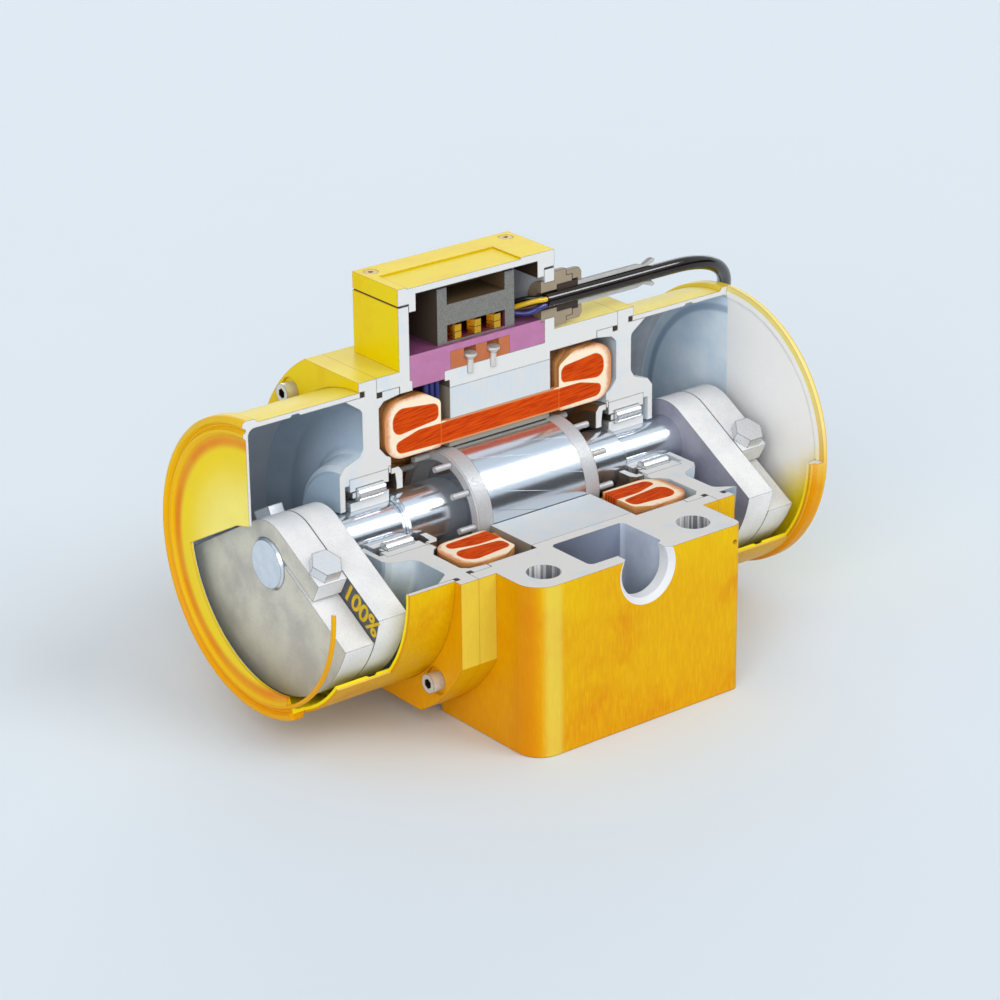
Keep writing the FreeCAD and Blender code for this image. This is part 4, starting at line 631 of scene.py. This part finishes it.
    def material(self) -> Material:
        """The enamel as a material."""
        graph = Graph(f"enamel_{self.casting.value}")
        mask, tone = self.inside(graph)
        cut = graph.section()
        colour = graph.layers(self.outside(graph), (mask, tone), (cut, section_tone(graph)))
        skin = graph.plus(graph.noise(1.6, 3), graph.times(graph.noise(7, 3), 0.8))
        graph.bump(graph.times(skin, graph.choose(cut, 1.0, 0.15)), 0.2)
        roughness = graph.choose(cut, graph.choose(mask, 0.34, 0.7), 0.75)
        return graph.finish(colour, roughness, shine=0.1)


@dataclass(frozen=True)
class SteelFinish:
    """Turned or ground steel, pale where the section cuts it."""

    name: str
    colour: Colour
    roughness: float = 0.18
    metal: float = 1.0
    turned: bool = True
    outline: float = 0.7
    # Whether the sockets of the shield screws get painted shade.
    socket: bool = False
    socket_radius: float = 3.6

    def material(self) -> Material:
        """The steel as a material."""
        graph = Graph(self.name)
        stretch = (0.12, 6, 6) if self.turned else (1, 1, 1)
        marks = graph.noise(1.2, 3, stretch)
        cut = graph.section()
        worn = tuple(part * 0.82 for part in self.colour)
        colour = graph.mix(graph.ramp(marks, 0.3, 0.75, 0.0, 0.6), self.colour, worn)
        colour = graph.mix(graph.edge(self.outline), colour, srgb(44, 42, 44), 0.85)
        # Painted shade inside the sockets of the shield screws.
        if self.socket:
            colour = graph.mix(self.hollow(graph), colour, srgb(48, 38, 30))
        colour = graph.mix(cut, colour, section_tone(graph))
        low, high = self.roughness * 0.8, self.roughness * 1.35
        roughness = graph.choose(cut, graph.ramp(marks, 0.3, 0.8, low, high), 0.6)
        graph.bump(marks, 0.01)
        return graph.finish(colour, roughness, graph.choose(cut, self.metal, 0.0))

    def hollow(self, graph: Graph) -> Socket:
        """1 inside the sockets of the shield screws."""
        aside = graph.minus(graph.size(graph.y), SCREW_PLACE)
        up = graph.minus(graph.size(graph.z), SCREW_PLACE)
        near = graph.below(graph.vector("LENGTH", graph.join(0.0, aside, up)), self.socket_radius)
        return graph.all_of(near, graph.below(graph.size(graph.x), SOCKET_REACH))


@dataclass(frozen=True)
class StackFinish:
    """Stacked core sheets: fine lines across the shaft, pale where they are cut."""

    name: str
    polished: bool
    sheet: float = 1.0
    skew: float = 0.006

    def material(self) -> Material:
        """The stack as a material."""
        graph = Graph(self.name)
        cut = graph.section()
        phase = graph.times(graph.x, 2 * math.pi / self.sheet)
        line = graph.wave(phase)
        base = srgb(214, 220, 228) if self.polished else srgb(158, 152, 140)
        dark = srgb(168, 176, 186) if self.polished else srgb(104, 100, 92)
        colour = graph.mix(graph.ramp(line, 0.75, 1.0, 0.0, 0.5), base, dark)
        height = line
        if self.polished:
            around = graph.minus(graph.turn(), graph.times(graph.x, self.skew))
            wave = graph.size(graph.math("SINE", graph.times(around, 10.0)))
            groove = graph.ramp(wave, 0.0, 0.035, 1.0, 0.0)
            colour = graph.mix(groove, colour, srgb(60, 64, 70), 0.55)
            height = graph.minus(graph.times(line, 0.2), groove)
        sheets = graph.mix(line, section_tone(graph, 0.6), srgb(176, 188, 194), 0.3)
        colour = graph.mix(cut, colour, sheets)
        graph.bump(graph.times(height, graph.choose(cut, 1.0, 0.1)), 0.05)
        rough = 0.17 if self.polished else 0.5
        metal = 0.92 if self.polished else 0.3
        return graph.finish(colour, graph.choose(cut, rough, 0.6), graph.choose(cut, metal, 0.0))


@dataclass(frozen=True)
class CoilFinish:
    """Enamelled copper: strands along the coil, and brushed streaks where it is cut."""

    name: str
    straight: bool = False
    slant: float = -0.12
    brushing: Point = (0.06, 0.9, 0.9)
    strands: float = 2.4

    def material(self) -> Material:
        """The copper coil as a material."""
        graph = Graph(self.name)
        cut = graph.section()
        bright, deep = srgb(216, 78, 0), srgb(178, 44, 0)
        slanted = graph.vector("ADD", graph.place, graph.join(0.0, 0.0, graph.times(graph.x, self.slant)))
        brush = graph.tree.nodes.new("ShaderNodeTexNoise")
        graph.put(brush.inputs["Vector"], graph.vector("MULTIPLY", slanted, self.brushing))
        brush.inputs["Scale"].default_value = 1.0
        brush.inputs["Detail"].default_value = 8.0
        streaks = graph.ramp(brush.outputs[0], 0.36, 0.7)
        face = graph.mix(streaks, bright, deep)
        face = graph.mix(graph.edge(1.2), face, srgb(236, 128, 40), 0.6)
        along = graph.y if self.straight else graph.x
        strand = graph.wave(graph.times(graph.plus(graph.radius(), along), self.strands))
        skin = graph.mix(graph.ramp(strand, 0.0, 0.5), srgb(120, 34, 4), srgb(208, 92, 22))
        graph.bump(graph.choose(cut, strand, graph.times(streaks, -0.04)), 0.5)
        return graph.finish(graph.mix(cut, skin, face), graph.choose(cut, 0.3, 0.8), shine=0.12)


@dataclass(frozen=True)
class TapeFinish:
    """Varnished woven tape: layers at the cut, weave on the surface."""

    name: str
    face: Colour
    skin: Colour
    middle: tuple[float, float] = (69.0, 64.0)
    half: tuple[float, float] = (23.0, 20.0)
    laps: float = 60.0

    def material(self) -> Material:
        """The tape as a material."""
        graph = Graph(self.name)
        cut = graph.section()
        places = zip((graph.size(graph.x), graph.radius()), self.middle, self.half)
        shares = [graph.math("DIVIDE", graph.minus(place, middle), half) for place, middle, half in places]
        squares = [graph.math("POWER", share, 2.0) for share in shares]
        rim = graph.vector("LENGTH", graph.join(*squares, 0.0))
        ragged = graph.plus(rim, graph.times(graph.noise(3.0, 3), 0.3))
        face = graph.mix(graph.ramp(ragged, 0.95, 1.3), self.face, srgb(216, 146, 100))
        face = graph.mix(graph.edge(0.6), face, srgb(120, 60, 30), 0.55)
        lap = graph.wave(graph.plus(graph.times(graph.turn(), self.laps), graph.times(graph.x, 0.25)))
        weave = graph.noise(0.7, 2)
        skin = graph.mix(graph.ramp(lap, 0.0, 0.35), srgb(184, 112, 54), self.skin)
        skin = graph.mix(graph.ramp(weave, 0.4, 0.7, 0.0, 0.35), skin, srgb(236, 206, 160))
        height = graph.plus(lap, graph.times(weave, 0.4))
        graph.bump(graph.times(height, graph.choose(cut, 1.0, 0.1)), 0.4)
        return graph.finish(graph.mix(cut, skin, face), graph.choose(cut, 0.45, 0.8), shine=0.15)


@dataclass(frozen=True)
class MouldedFinish:
    """Moulded plastic, rubber or resin with its own colour at the cut."""

    name: str
    colour: Colour
    cut_colour: Colour
    roughness: float = 0.5
    grain: float = 0.08
    coat: float = 0.0
    outline: float = 0.5

    def material(self) -> Material:
        """The moulding as a material."""
        graph = Graph(self.name)
        cut = graph.section()
        clouds = graph.ramp(graph.noise(11, 5), 0.35, 0.72)
        speck = graph.ramp(graph.noise(0.8, 2), 0.4, 0.8, 0.0, 0.3)
        dark = tuple(part * 0.7 for part in self.colour)
        light = tuple(min(1.0, part * 1.12) for part in self.cut_colour)
        colour = graph.mix(clouds, self.colour, dark)
        face = graph.mix(clouds, self.cut_colour, light)
        colour = graph.mix(speck, graph.mix(cut, colour, face), dark)
        colour = graph.mix(graph.edge(0.8), colour, tuple(part * 0.25 for part in self.colour), self.outline)
        graph.bump(graph.noise(0.9, 3), self.grain)
        return graph.finish(colour, self.roughness, coat=self.coat, shine=0.35)


@dataclass(frozen=True)
class BlockFinish:
    """Grey moulding with a dark window, shade painted at left and a maroon painted reflection in the recess.
    """

    name: str = "terminal_moulding"
    front: float = 3.3
    span: tuple[float, float] = (-41.2, 6.7)
    recess: tuple[float, float] = (113.0, 125.7)
    window: float = 139.3

    def material(self) -> Material:
        """The terminal moulding as a material."""
        graph = Graph(self.name)
        grain = graph.ramp(graph.noise(1.1, 3), 0.35, 0.75)
        grey = graph.mix(grain, srgb(128, 128, 125), srgb(106, 105, 101))
        inside = graph.all_of(graph.above(graph.y, self.front), graph.between(graph.x, *self.span))
        recess = graph.all_of(inside, graph.between(graph.z, *self.recess))
        window = graph.all_of(inside, graph.above(graph.z, self.window))
        # Painted shade on faces turned to the left.
        side = graph.below(graph.nx, -0.9)
        # The maroon of the recess is a painted reflection of the purple compound.
        colour = graph.layers(grey, (side, srgb(74, 62, 52)), (recess, srgb(106, 36, 58)),
                              (window, srgb(92, 74, 50)), (graph.edge(0.7), srgb(44, 36, 30), 0.45))
        graph.bump(graph.noise(0.6, 3), 0.06)
        return graph.finish(colour, 0.6, shine=0.3)


@dataclass(frozen=True)
class WeightFinish:
    """Grey iron of the unbalance weights, milled on its flat faces, with painted light and shade."""

    name: str = "weight_iron"
    joint: tuple[float, float] = (165.4, 166.9)

    def material(self) -> Material:
        """The iron as a material."""
        graph = Graph(self.name)
        reach = graph.size(graph.x)
        end = graph.above(graph.size(graph.nx), 0.9)
        clouds = graph.ramp(graph.noise(24, 5), 0.35, 0.7)
        sand = graph.noise(0.8, 3)
        # Lit and shaded copies of the end face: the right weights' faces are darker and cooler as painted
        # shade.
        left_face = graph.mix(clouds, srgb(208, 205, 190), srgb(180, 177, 170))
        shaded_right_face = graph.mix(clouds, srgb(162, 162, 176), srgb(138, 138, 156))
        face = graph.mix(graph.above(graph.x, 0.0), left_face, shaded_right_face)
        face = graph.mix(graph.between(reach, *self.joint), face, srgb(84, 86, 90))
        # Pale painted light on the rims and tops; all of it is darker and warmer towards the bottom.
        edge = graph.mix(clouds, srgb(238, 239, 239), srgb(226, 228, 231))
        low = graph.ramp(graph.z, -88, -20, 0.6, 0.0)
        flat = graph.mix(low, face, srgb(168, 156, 128))
        tone = graph.mix(end, graph.mix(low, edge, srgb(196, 200, 178)), flat)
        tone = graph.layers(tone, (graph.ramp(sand, 0.4, 0.8, 0.0, 0.22), srgb(128, 126, 124)),
                            (graph.edge(1.0), srgb(70, 66, 64), 0.75))
        graph.bump(graph.plus(sand, graph.noise(3, 3)), 0.12)
        return graph.finish(tone, graph.ramp(sand, 0.3, 0.8, 0.5, 0.66), 0.0, shine=0.15)


@dataclass(frozen=True)
class SheathFinish:
    """Glossy black cable sheath."""

    name: str = "cable_sheath"

    def material(self) -> Material:
        """The sheath as a material."""
        graph = Graph(self.name)
        clouds = graph.ramp(graph.noise(14, 4), 0.35, 0.75)
        graph.bump(graph.noise(1.4, 2), 0.03)
        return graph.finish(graph.mix(clouds, srgb(20, 14, 12), srgb(34, 26, 22)), 0.12, shine=0.4)


class Finish(Protocol):
    """What every finish can do."""

    def material(self) -> Material:
        """The finish as a material."""


def dress(finish: Finish, *nodes: str) -> None:
    """Gives CAD nodes a finish.

    Args:
        finish: The finish.
        nodes: Names of the nodes.
    """
    material = finish.material()
    for name in nodes:
        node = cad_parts[name]
        node.data.materials.clear()
        node.data.materials.append(material)
        log.info("%s: %s", name, material.name)


def both(*names: str) -> list[str]:
    """Names of some nodes on the two ends of the motor."""
    return [f"{side.word}_{name}" for name in names for side in Side]


def stand(name: str, data: bpy.types.ID) -> bpy.types.Object:
    """Puts an object into the scene.

    Args:
        name: Name of the object.
        data: What it shows, such as a mesh or a lamp.

    Returns:
        The object.
    """
    thing = bpy.data.objects.new(name, data)
    bpy.context.scene.collection.objects.link(thing)
    return thing


def sheet(name: str, corners: Sequence[Point], material: Material) -> bpy.types.Object:
    """Puts a flat four-sided sheet into the scene.

    Args:
        name: Name of the sheet.
        corners: Its corners in metres.
        material: Its finish.

    Returns:
        The sheet.
    """
    mesh = bpy.data.meshes.new(name)
    mesh.from_pydata(corners, [], [(0, 1, 2, 3)])
    mesh.materials.append(material)
    return stand(name, mesh)


def add_piece(name: str, data: bpy.types.ID, body: str,
              material: Material) -> bpy.types.Object:
    """Makes a piece from its data and lets it ride on a body.

    Args:
        name: Name of the piece.
        data: Mesh or curve.
        body: Body it moves with.
        material: Its finish.

    Returns:
        The piece.
    """
    piece = stand(name, data)
    data.materials.append(material)
    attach(piece, body)
    log.info("%s rides on %s", name, body)
    return piece


def cord_curve(name: str, points: Sequence[Point], radius: float) -> bpy.types.Curve:
    """A round cord whose line is a smooth NURBS through a route in millimetres.

    Args:
        name: Name of the curve.
        points: Its control points.
        radius: Radius of the cord in millimetres.

    Returns:
        The curve, closed at both ends.
    """
    curve = bpy.data.curves.new(name, "CURVE")
    curve.dimensions = "3D"
    curve.bevel_depth = radius * MM
    curve.bevel_resolution = 6
    curve.use_fill_caps = True
    curve.resolution_u = 8
    spline = curve.splines.new("NURBS")
    spline.points.add(len(points) - 1)
    for spot, point in zip(spline.points, points):
        spot.co = (*(part * MM for part in point), 1.0)
    spline.order_u = 3
    spline.use_endpoint_u = True
    return curve


@dataclass
class StudioSetting:
    """Floor, light, background and the picture's camera."""

    azimuth: float = 38.09
    elevation: float = 22.67
    roll: float = -0.64
    distance: float = 2.23886
    lens: float = 120.88
    sensor: float = 36.0
    far_clip: float = 60.0
    aim: Point = (-0.00157, 0.0, 0.11223)
    floor_colour: Colour = srgb(224, 235, 245)
    floor_reach: float = 14.0
    floor_drop: float = 0.0004
    backdrop_colour: Colour = srgb(222, 233, 243)
    card_toward: tuple[float, float] = (0.58, -0.815)
    card_distance: float = 1.3
    card_half: float = 1.6
    card_heights: tuple[float, float] = (0.1, 0.56)
    sky_strength: float = 0.54
    gloss_lamp: str = "glint_light"
    lamps: Sequence[tuple[str, Point, float, float]] = (
        ("key_light", (0.42, -0.72, 0.80), 0.8, 30),
        ("fill_light", (-0.66, -0.62, 0.42), 1.45, 50),
        ("back_light", (0.62, 0.76, 0.14), 0.9, 50),
        ("glint_light", (0.57, -0.45, 0.69), 0.95, 16),
    )

    def build(self) -> None:
        """Adds the camera, the floor, the sky, the lamps and the dark card."""
        self.add_camera()
        self.add_floor()
        self.add_sky()
        self.add_lamps()
        self.add_card()
        bpy.context.scene.view_settings.view_transform = "Standard"

    def add_camera(self) -> None:
        """Places the camera where the picture was drawn from."""
        around, up = math.radians(self.azimuth), math.radians(self.elevation)
        ahead = Vector((math.sin(around) * math.cos(up), math.cos(around) * math.cos(up), -math.sin(up)))
        level = Vector((math.cos(around), -math.sin(around), 0))
        rise = level.cross(ahead)
        lean = math.radians(self.roll)
        right = level * math.cos(lean) + rise * math.sin(lean)
        top = rise * math.cos(lean) - level * math.sin(lean)
        data = bpy.data.cameras.new("picture_camera")
        data.lens = self.lens
        data.sensor_width = self.sensor
        data.clip_end = self.far_clip
        camera = stand("picture_camera", data)
        turned = Matrix((right, top, -ahead)).transposed().to_4x4()
        turned.translation = Vector(self.aim) - ahead * self.distance
        camera.matrix_world = turned
        bpy.context.scene.camera = camera

    def add_floor(self) -> None:
        """Lays a wide pale floor under the motor."""
        graph = Graph("floor_paper")
        clouds = graph.ramp(graph.noise(160, 4), 0.3, 0.8, 0.0, 0.35)
        tone = graph.mix(clouds, self.floor_colour, tuple(part * 0.985 for part in self.floor_colour))
        reach = self.floor_reach
        corners = [(-reach, -reach, 0), (reach, -reach, 0), (reach, reach, 0), (-reach, reach, 0)]
        floor = sheet("floor", corners, graph.finish(tone, 0.9))
        floor.location.z = -self.floor_drop

    def add_sky(self) -> None:
        """Lights the scene from all round and shows the pale background to the camera."""
        world = bpy.data.worlds.new("studio_sky")
        bpy.context.scene.world = world
        world.use_nodes = True
        tree = world.node_tree
        tree.nodes.clear()
        output = tree.nodes.new("ShaderNodeOutputWorld")
        backgrounds = []
        for colour, strength in (((1.0, 1.0, 1.0), self.sky_strength), (self.backdrop_colour, 1.0)):
            background = tree.nodes.new("ShaderNodeBackground")
            background.inputs["Color"].default_value = opaque(colour)
            background.inputs["Strength"].default_value = strength
            backgrounds.append(background.outputs[0])
        rays = tree.nodes.new("ShaderNodeLightPath")
        seen = rays.outputs["Is Camera Ray"]
        for kind in ("Is Glossy Ray", "Is Transmission Ray"):
            either = tree.nodes.new("ShaderNodeMath")
            either.operation = "MAXIMUM"
            tree.links.new(seen, either.inputs[0])
            tree.links.new(rays.outputs[kind], either.inputs[1])
            seen = either.outputs[0]
        blend = tree.nodes.new("ShaderNodeMixShader")
        for socket, value in zip(blend.inputs, (seen, *backgrounds)):
            tree.links.new(value, socket)
        tree.links.new(blend.outputs[0], output.inputs["Surface"])

    def add_lamps(self) -> None:
        """Hangs lamps by name, direction, strength and width, one of them only for gloss."""
        for name, toward, strength, width in self.lamps:
            data = bpy.data.lights.new(name, "SUN")
            data.energy = strength
            data.angle = math.radians(width)
            lamp = stand(name, data)
            lamp.rotation_euler = Vector(toward).to_track_quat("Z", "Y").to_euler()
            lamp.visible_diffuse = name != self.gloss_lamp

    def add_card(self) -> None:
        """Stands a dark card beside the set that only shows as a band in polished steel."""
        graph = Graph("card_black")
        tone = graph.mix(graph.noise(60), srgb(24, 22, 24), srgb(34, 30, 30))
        ahead = Vector(self.card_toward)
        side = Vector((-ahead.y, ahead.x)) * self.card_half
        left, right = ahead * self.card_distance - side, ahead * self.card_distance + side
        low, high = self.card_heights
        corners = [(*left, low), (*right, low), (*right, high), (*left, high)]
        card = sheet("dark_card", corners, graph.finish(tone, 0.9, shine=0.0))
        card.visible_camera = False
        card.visible_diffuse = False
        card.visible_shadow = False


@dataclass
class SupplyCable:
    """The cable from the terminal box to its put-away coil, with its cores in the box."""

    radius: float = 5.0
    coil_centre: tuple[float, float] = (100.0, 228.0)
    coil_middle: float = 62.5
    steps_in_turn: int = 16
    first_angle: float = 22.0
    last_angle: float = 90.0
    change_angle: float = 10.0
    change_span: float = 70.0
    floor_gap: float = 0.05
    tail_shares: Sequence[float] = (0.35, 0.7, 1.0)
    free_end: float = 38.0
    core_radius: float = 1.7
    route: Sequence[Point] = (
        (38.0, 0.0, 243.7),
        (84.0, 0.0, 243.4),
        (128.0, 0.0, 243.5),
        (172.0, 0.4, 243.2),
        (206.6, 12.0, 227.5),
        (226.6, 32.8, 199.8),
        (226.6, 56.8, 167.8),
        (224.0, 84.0, 128.0),
        (217.0, 109.0, 90.0),
        (210.0, 134.0, 54.0),
        (202.0, 160.0, 25.0),
        (191.0, 187.0, 8.25),
        (178.0, 218.0, 5.05),
    )
    core_routes: Sequence[Sequence[Point]] = (
        ((37.7, -2.0, 241.5), (34.0, -2.0, 241.5), (29.0, -2.4, 240.3), (24.0, 1.5, 237.6),
         (19.0, 7.6, 237.5), (11.0, 9.4, 239.0), (6.3, 9.4, 239.0)),
        ((37.7, -2.0, 245.5), (34.0, -2.0, 245.7), (29.0, -1.6, 246.3), (24.0, 2.5, 244.3),
         (19.0, 9.5, 240.9), (11.0, 13.0, 239.1), (6.3, 13.0, 239.0)),
        ((37.7, 2.0, 241.5), (34.0, 2.2, 241.4), (29.5, 5.5, 239.7), (24.5, 11.0, 237.8),
         (18.5, 15.0, 238.3), (11.0, 16.6, 239.0), (4.0, 16.6, 239.0)),
        ((37.7, 2.0, 245.5), (34.0, 2.2, 245.6), (29.5, 6.5, 246.0), (24.5, 13.5, 243.2),
         (18.5, 18.5, 240.2), (11.0, 20.2, 239.1), (4.0, 20.2, 239.0)),
    )

    def coil_points(self) -> list[Point]:
        """Control points of four turns, two beside and two on each other.

        Returns:
            Points in millimetres, ending where the free end starts.
        """
        wire = self.radius
        outer, inner = self.coil_middle + wire, self.coil_middle - wire
        low, high = wire + self.floor_gap, wire * 3
        plan = [(outer, low), (inner, low), (inner, high), (outer, high)]
        last = len(plan) - 1
        step = 360 / self.steps_in_turn
        overshoot = 1 / ((1 + math.cos(math.radians(step))) / 2) ** 0.5
        points = []
        angle = self.first_angle + step
        while angle < self.last_angle + 360 * len(plan) - step / 2:
            turn = (angle - self.change_angle) / 360
            here = min(last, int(turn))
            into_change = (turn - here) * 360 - (360 - self.change_span)
            share = max(0.0, into_change / self.change_span) if here < last else 0.0
            smooth = share * share * (3 - 2 * share)
            radius, height = (now + (then - now) * smooth
                              for now, then in zip(plan[here], plan[min(last, here + 1)]))
            x = self.coil_centre[0] + radius * overshoot * math.cos(math.radians(angle))
            y = self.coil_centre[1] + radius * overshoot * math.sin(math.radians(angle))
            points.append((x, y, height))
            angle += step
        return points

    def build(self) -> None:
        end_y = self.coil_centre[1] + self.coil_middle + self.radius
        end_x = self.coil_centre[0]
        tail = [(end_x - share * self.free_end, end_y, self.radius * 3) for share in self.tail_shares]
        line = cord_curve("supply_cord", [*self.route, *self.coil_points(), *tail], self.radius)
        cable = add_piece("supply_cord", line, ROOT, SheathFinish().material())
        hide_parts("supply_cable", "cable_coil")
        self.build_cores()

    def build_cores(self) -> None:
        """Makes the four coloured cores in the terminal box."""
        colours = {
            "blue": srgb(44, 52, 128),
            "yellow": srgb(226, 182, 20),
            "brown": srgb(92, 52, 30),
            "black": srgb(36, 34, 36),
        }
        for (word, colour), route in zip(colours.items(), self.core_routes):
            finish = MouldedFinish(f"core_{word}", colour, colour, 0.3, grain=0.02, coat=0.4)
            line = cord_curve(f"box_core_{word}", route, self.core_radius)
            core = add_piece(f"box_core_{word}", line, ROOT, finish.material())
            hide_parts("cable_cores")


@dataclass
class SettingScale:
    """The 100 % mark on the outer face of an inner weight, next to the outer weight's edge."""

    side: Side
    slope: float = 30.0
    reach: float = 66.5
    offset: float = 20.4
    height: float = 18.0
    face: float = 166.05
    thickness: float = 0.1
    boldness: float = 0.5
    paint: Colour = srgb(222, 184, 20)

    def build(self) -> None:
        """Makes the raised figures and lets them turn with the rotor."""
        text = bpy.data.curves.new("scale_text", "FONT")
        text.body = "100%"
        text.size = self.height * MM
        text.extrude = self.thickness * MM
        text.offset = self.boldness * MM
        text.align_x = "CENTER"
        text.align_y = "CENTER"
        text.space_character = 0.98
        holder = stand("scale_text", text)
        bpy.context.view_layer.update()
        mesh = bpy.data.meshes.new_from_object(holder.evaluated_get(bpy.context.evaluated_depsgraph_get()))
        bpy.data.objects.remove(holder)
        angle, sign = math.radians(self.slope), self.side.value
        down = Vector((0, math.cos(angle), math.sin(angle))) * sign
        up = Vector((0, -math.sin(angle), math.cos(angle)))
        turned = Matrix((down, up, Vector((sign, 0, 0)))).transposed().to_4x4()
        spot = up * self.offset - down * sign * self.reach
        turned.translation = Vector((sign * self.face, spot.y, spot.z + SHAFT_LINE)) * MM
        mesh.transform(turned)
        finish = MouldedFinish(f"{self.side.word}_scale_paint", self.paint, self.paint, 0.6)
        add_piece(f"{self.side.word}_setting_scale", mesh, ROTOR, finish.material())


@dataclass
class CutMotor:
    """All CAD nodes with the finishes of the real pieces, several with light and shade painted in."""

    steel: Colour = srgb(226, 232, 240)
    lead_blue: Colour = srgb(44, 52, 120)
    end_core_blue: Colour = srgb(60, 60, 110)

    def build(self) -> None:
        """Dresses every node."""
        self.dress_castings()
        self.dress_turning_parts()
        self.dress_windings()
        self.dress_terminal_box()

    def dress_castings(self) -> None:
        """Housing, shields, covers, lid and what seals and holds them."""
        dress(EnamelFinish(Casting.HOUSING), "motor_housing")
        dress(EnamelFinish(Casting.SHIELD), *both("end_shield"))
        dress(EnamelFinish(Casting.COVER), *both("cover"))
        dress(EnamelFinish(Casting.LID), "terminal_box_lid")
        dress(MouldedFinish("seal_rubber", srgb(44, 36, 32), srgb(58, 44, 36), 0.45),
              *both("shield_seal", "cover_seal"), "lid_gasket", "gland_seal")
        dress(SteelFinish("zinc_screws", srgb(222, 220, 214), 0.34, 0.5, False, outline=0.9, socket=True),
              *both("shield_screws"), "terminal_board_screws")
        dress(SteelFinish("lid_screw_steel", srgb(190, 160, 84), 0.4, 0.4, turned=False), "lid_screws")

    def dress_turning_parts(self) -> None:
        """Shaft, rotor, bearings and weights, and the stator core, which is a stack too."""
        dress(SteelFinish("ground_shaft", self.steel, 0.17, 0.92, outline=1.3), "shaft")
        dress(SteelFinish("bearing_steel", srgb(226, 230, 234), 0.28, 0.75),
              *both("bearing_outer_ring", "bearing_inner_ring", "bearing_rollers"))
        dress(SteelFinish("cage_steel", srgb(206, 196, 178), 0.34, turned=False),
              *both("bearing_cage", "bearing_circlip", "grease_ring"), "weight_keys")
        dress(StackFinish("rotor_stack", polished=True), "rotor_core")
        dress(StackFinish("stator_stack", polished=False), "stator_core")
        dress(SteelFinish("cast_aluminium", srgb(188, 190, 192), 0.5, 0.25, False, outline=0.9),
              "rotor_cage")
        dress(WeightFinish(), *both("inner_weight", "outer_weight"))
        dress(SteelFinish("bolt_steel", srgb(222, 223, 226), 0.34, 0.6, False, outline=1.3),
              *both("inner_clamp_bolt", "outer_clamp_bolt"))

    def dress_windings(self) -> None:
        """Coils, slot insulation, wrapping and leads."""
        dress(CoilFinish("coil_heads"), *both("end_winding"))
        dress(CoilFinish("slot_coils", straight=True), "slot_windings")
        dress(TapeFinish("winding_tape", srgb(250, 232, 204), srgb(214, 142, 72)),
              *both("winding_wrap"), "slot_liners")
        dress(MouldedFinish("lead_plastic", self.lead_blue, self.lead_blue, 0.35), "winding_leads")

    def dress_terminal_box(self) -> None:
        """Everything in the terminal box and at the cable entry, and the cores at the far end."""
        dress(MouldedFinish("purple_resin", srgb(146, 80, 124), srgb(182, 116, 160), 0.4, 0.05, 0.2),
              "sealing_compound")
        dress(MouldedFinish("brown_board", srgb(168, 92, 52), srgb(188, 108, 64)), "terminal_board")
        dress(BlockFinish(), "terminal_block")
        dress(SteelFinish("terminal_brass", srgb(226, 170, 50), 0.25, turned=False), "terminals")
        dress(MouldedFinish("gland_casting", srgb(136, 120, 98), srgb(156, 142, 120), 0.5, 0.3, outline=1.0),
              "gland_body", "gland_nut")
        dress(MouldedFinish("sleeve_rubber", srgb(132, 130, 126), srgb(186, 186, 183)), "anti_kink_sleeve")
        dress(MouldedFinish("end_cores", self.end_core_blue, self.end_core_blue, 0.35), "cable_end_cores")


def main() -> None:
    """Builds the setting and every sub-assembly in order."""
    logging.basicConfig(level=logging.INFO, format="%(name)s: %(message)s")
    StudioSetting().build()
    SupplyCable().build()
    CutMotor().build()
    for side in Side:
        SettingScale(side).build()


if __name__ == "__main__":
    main()
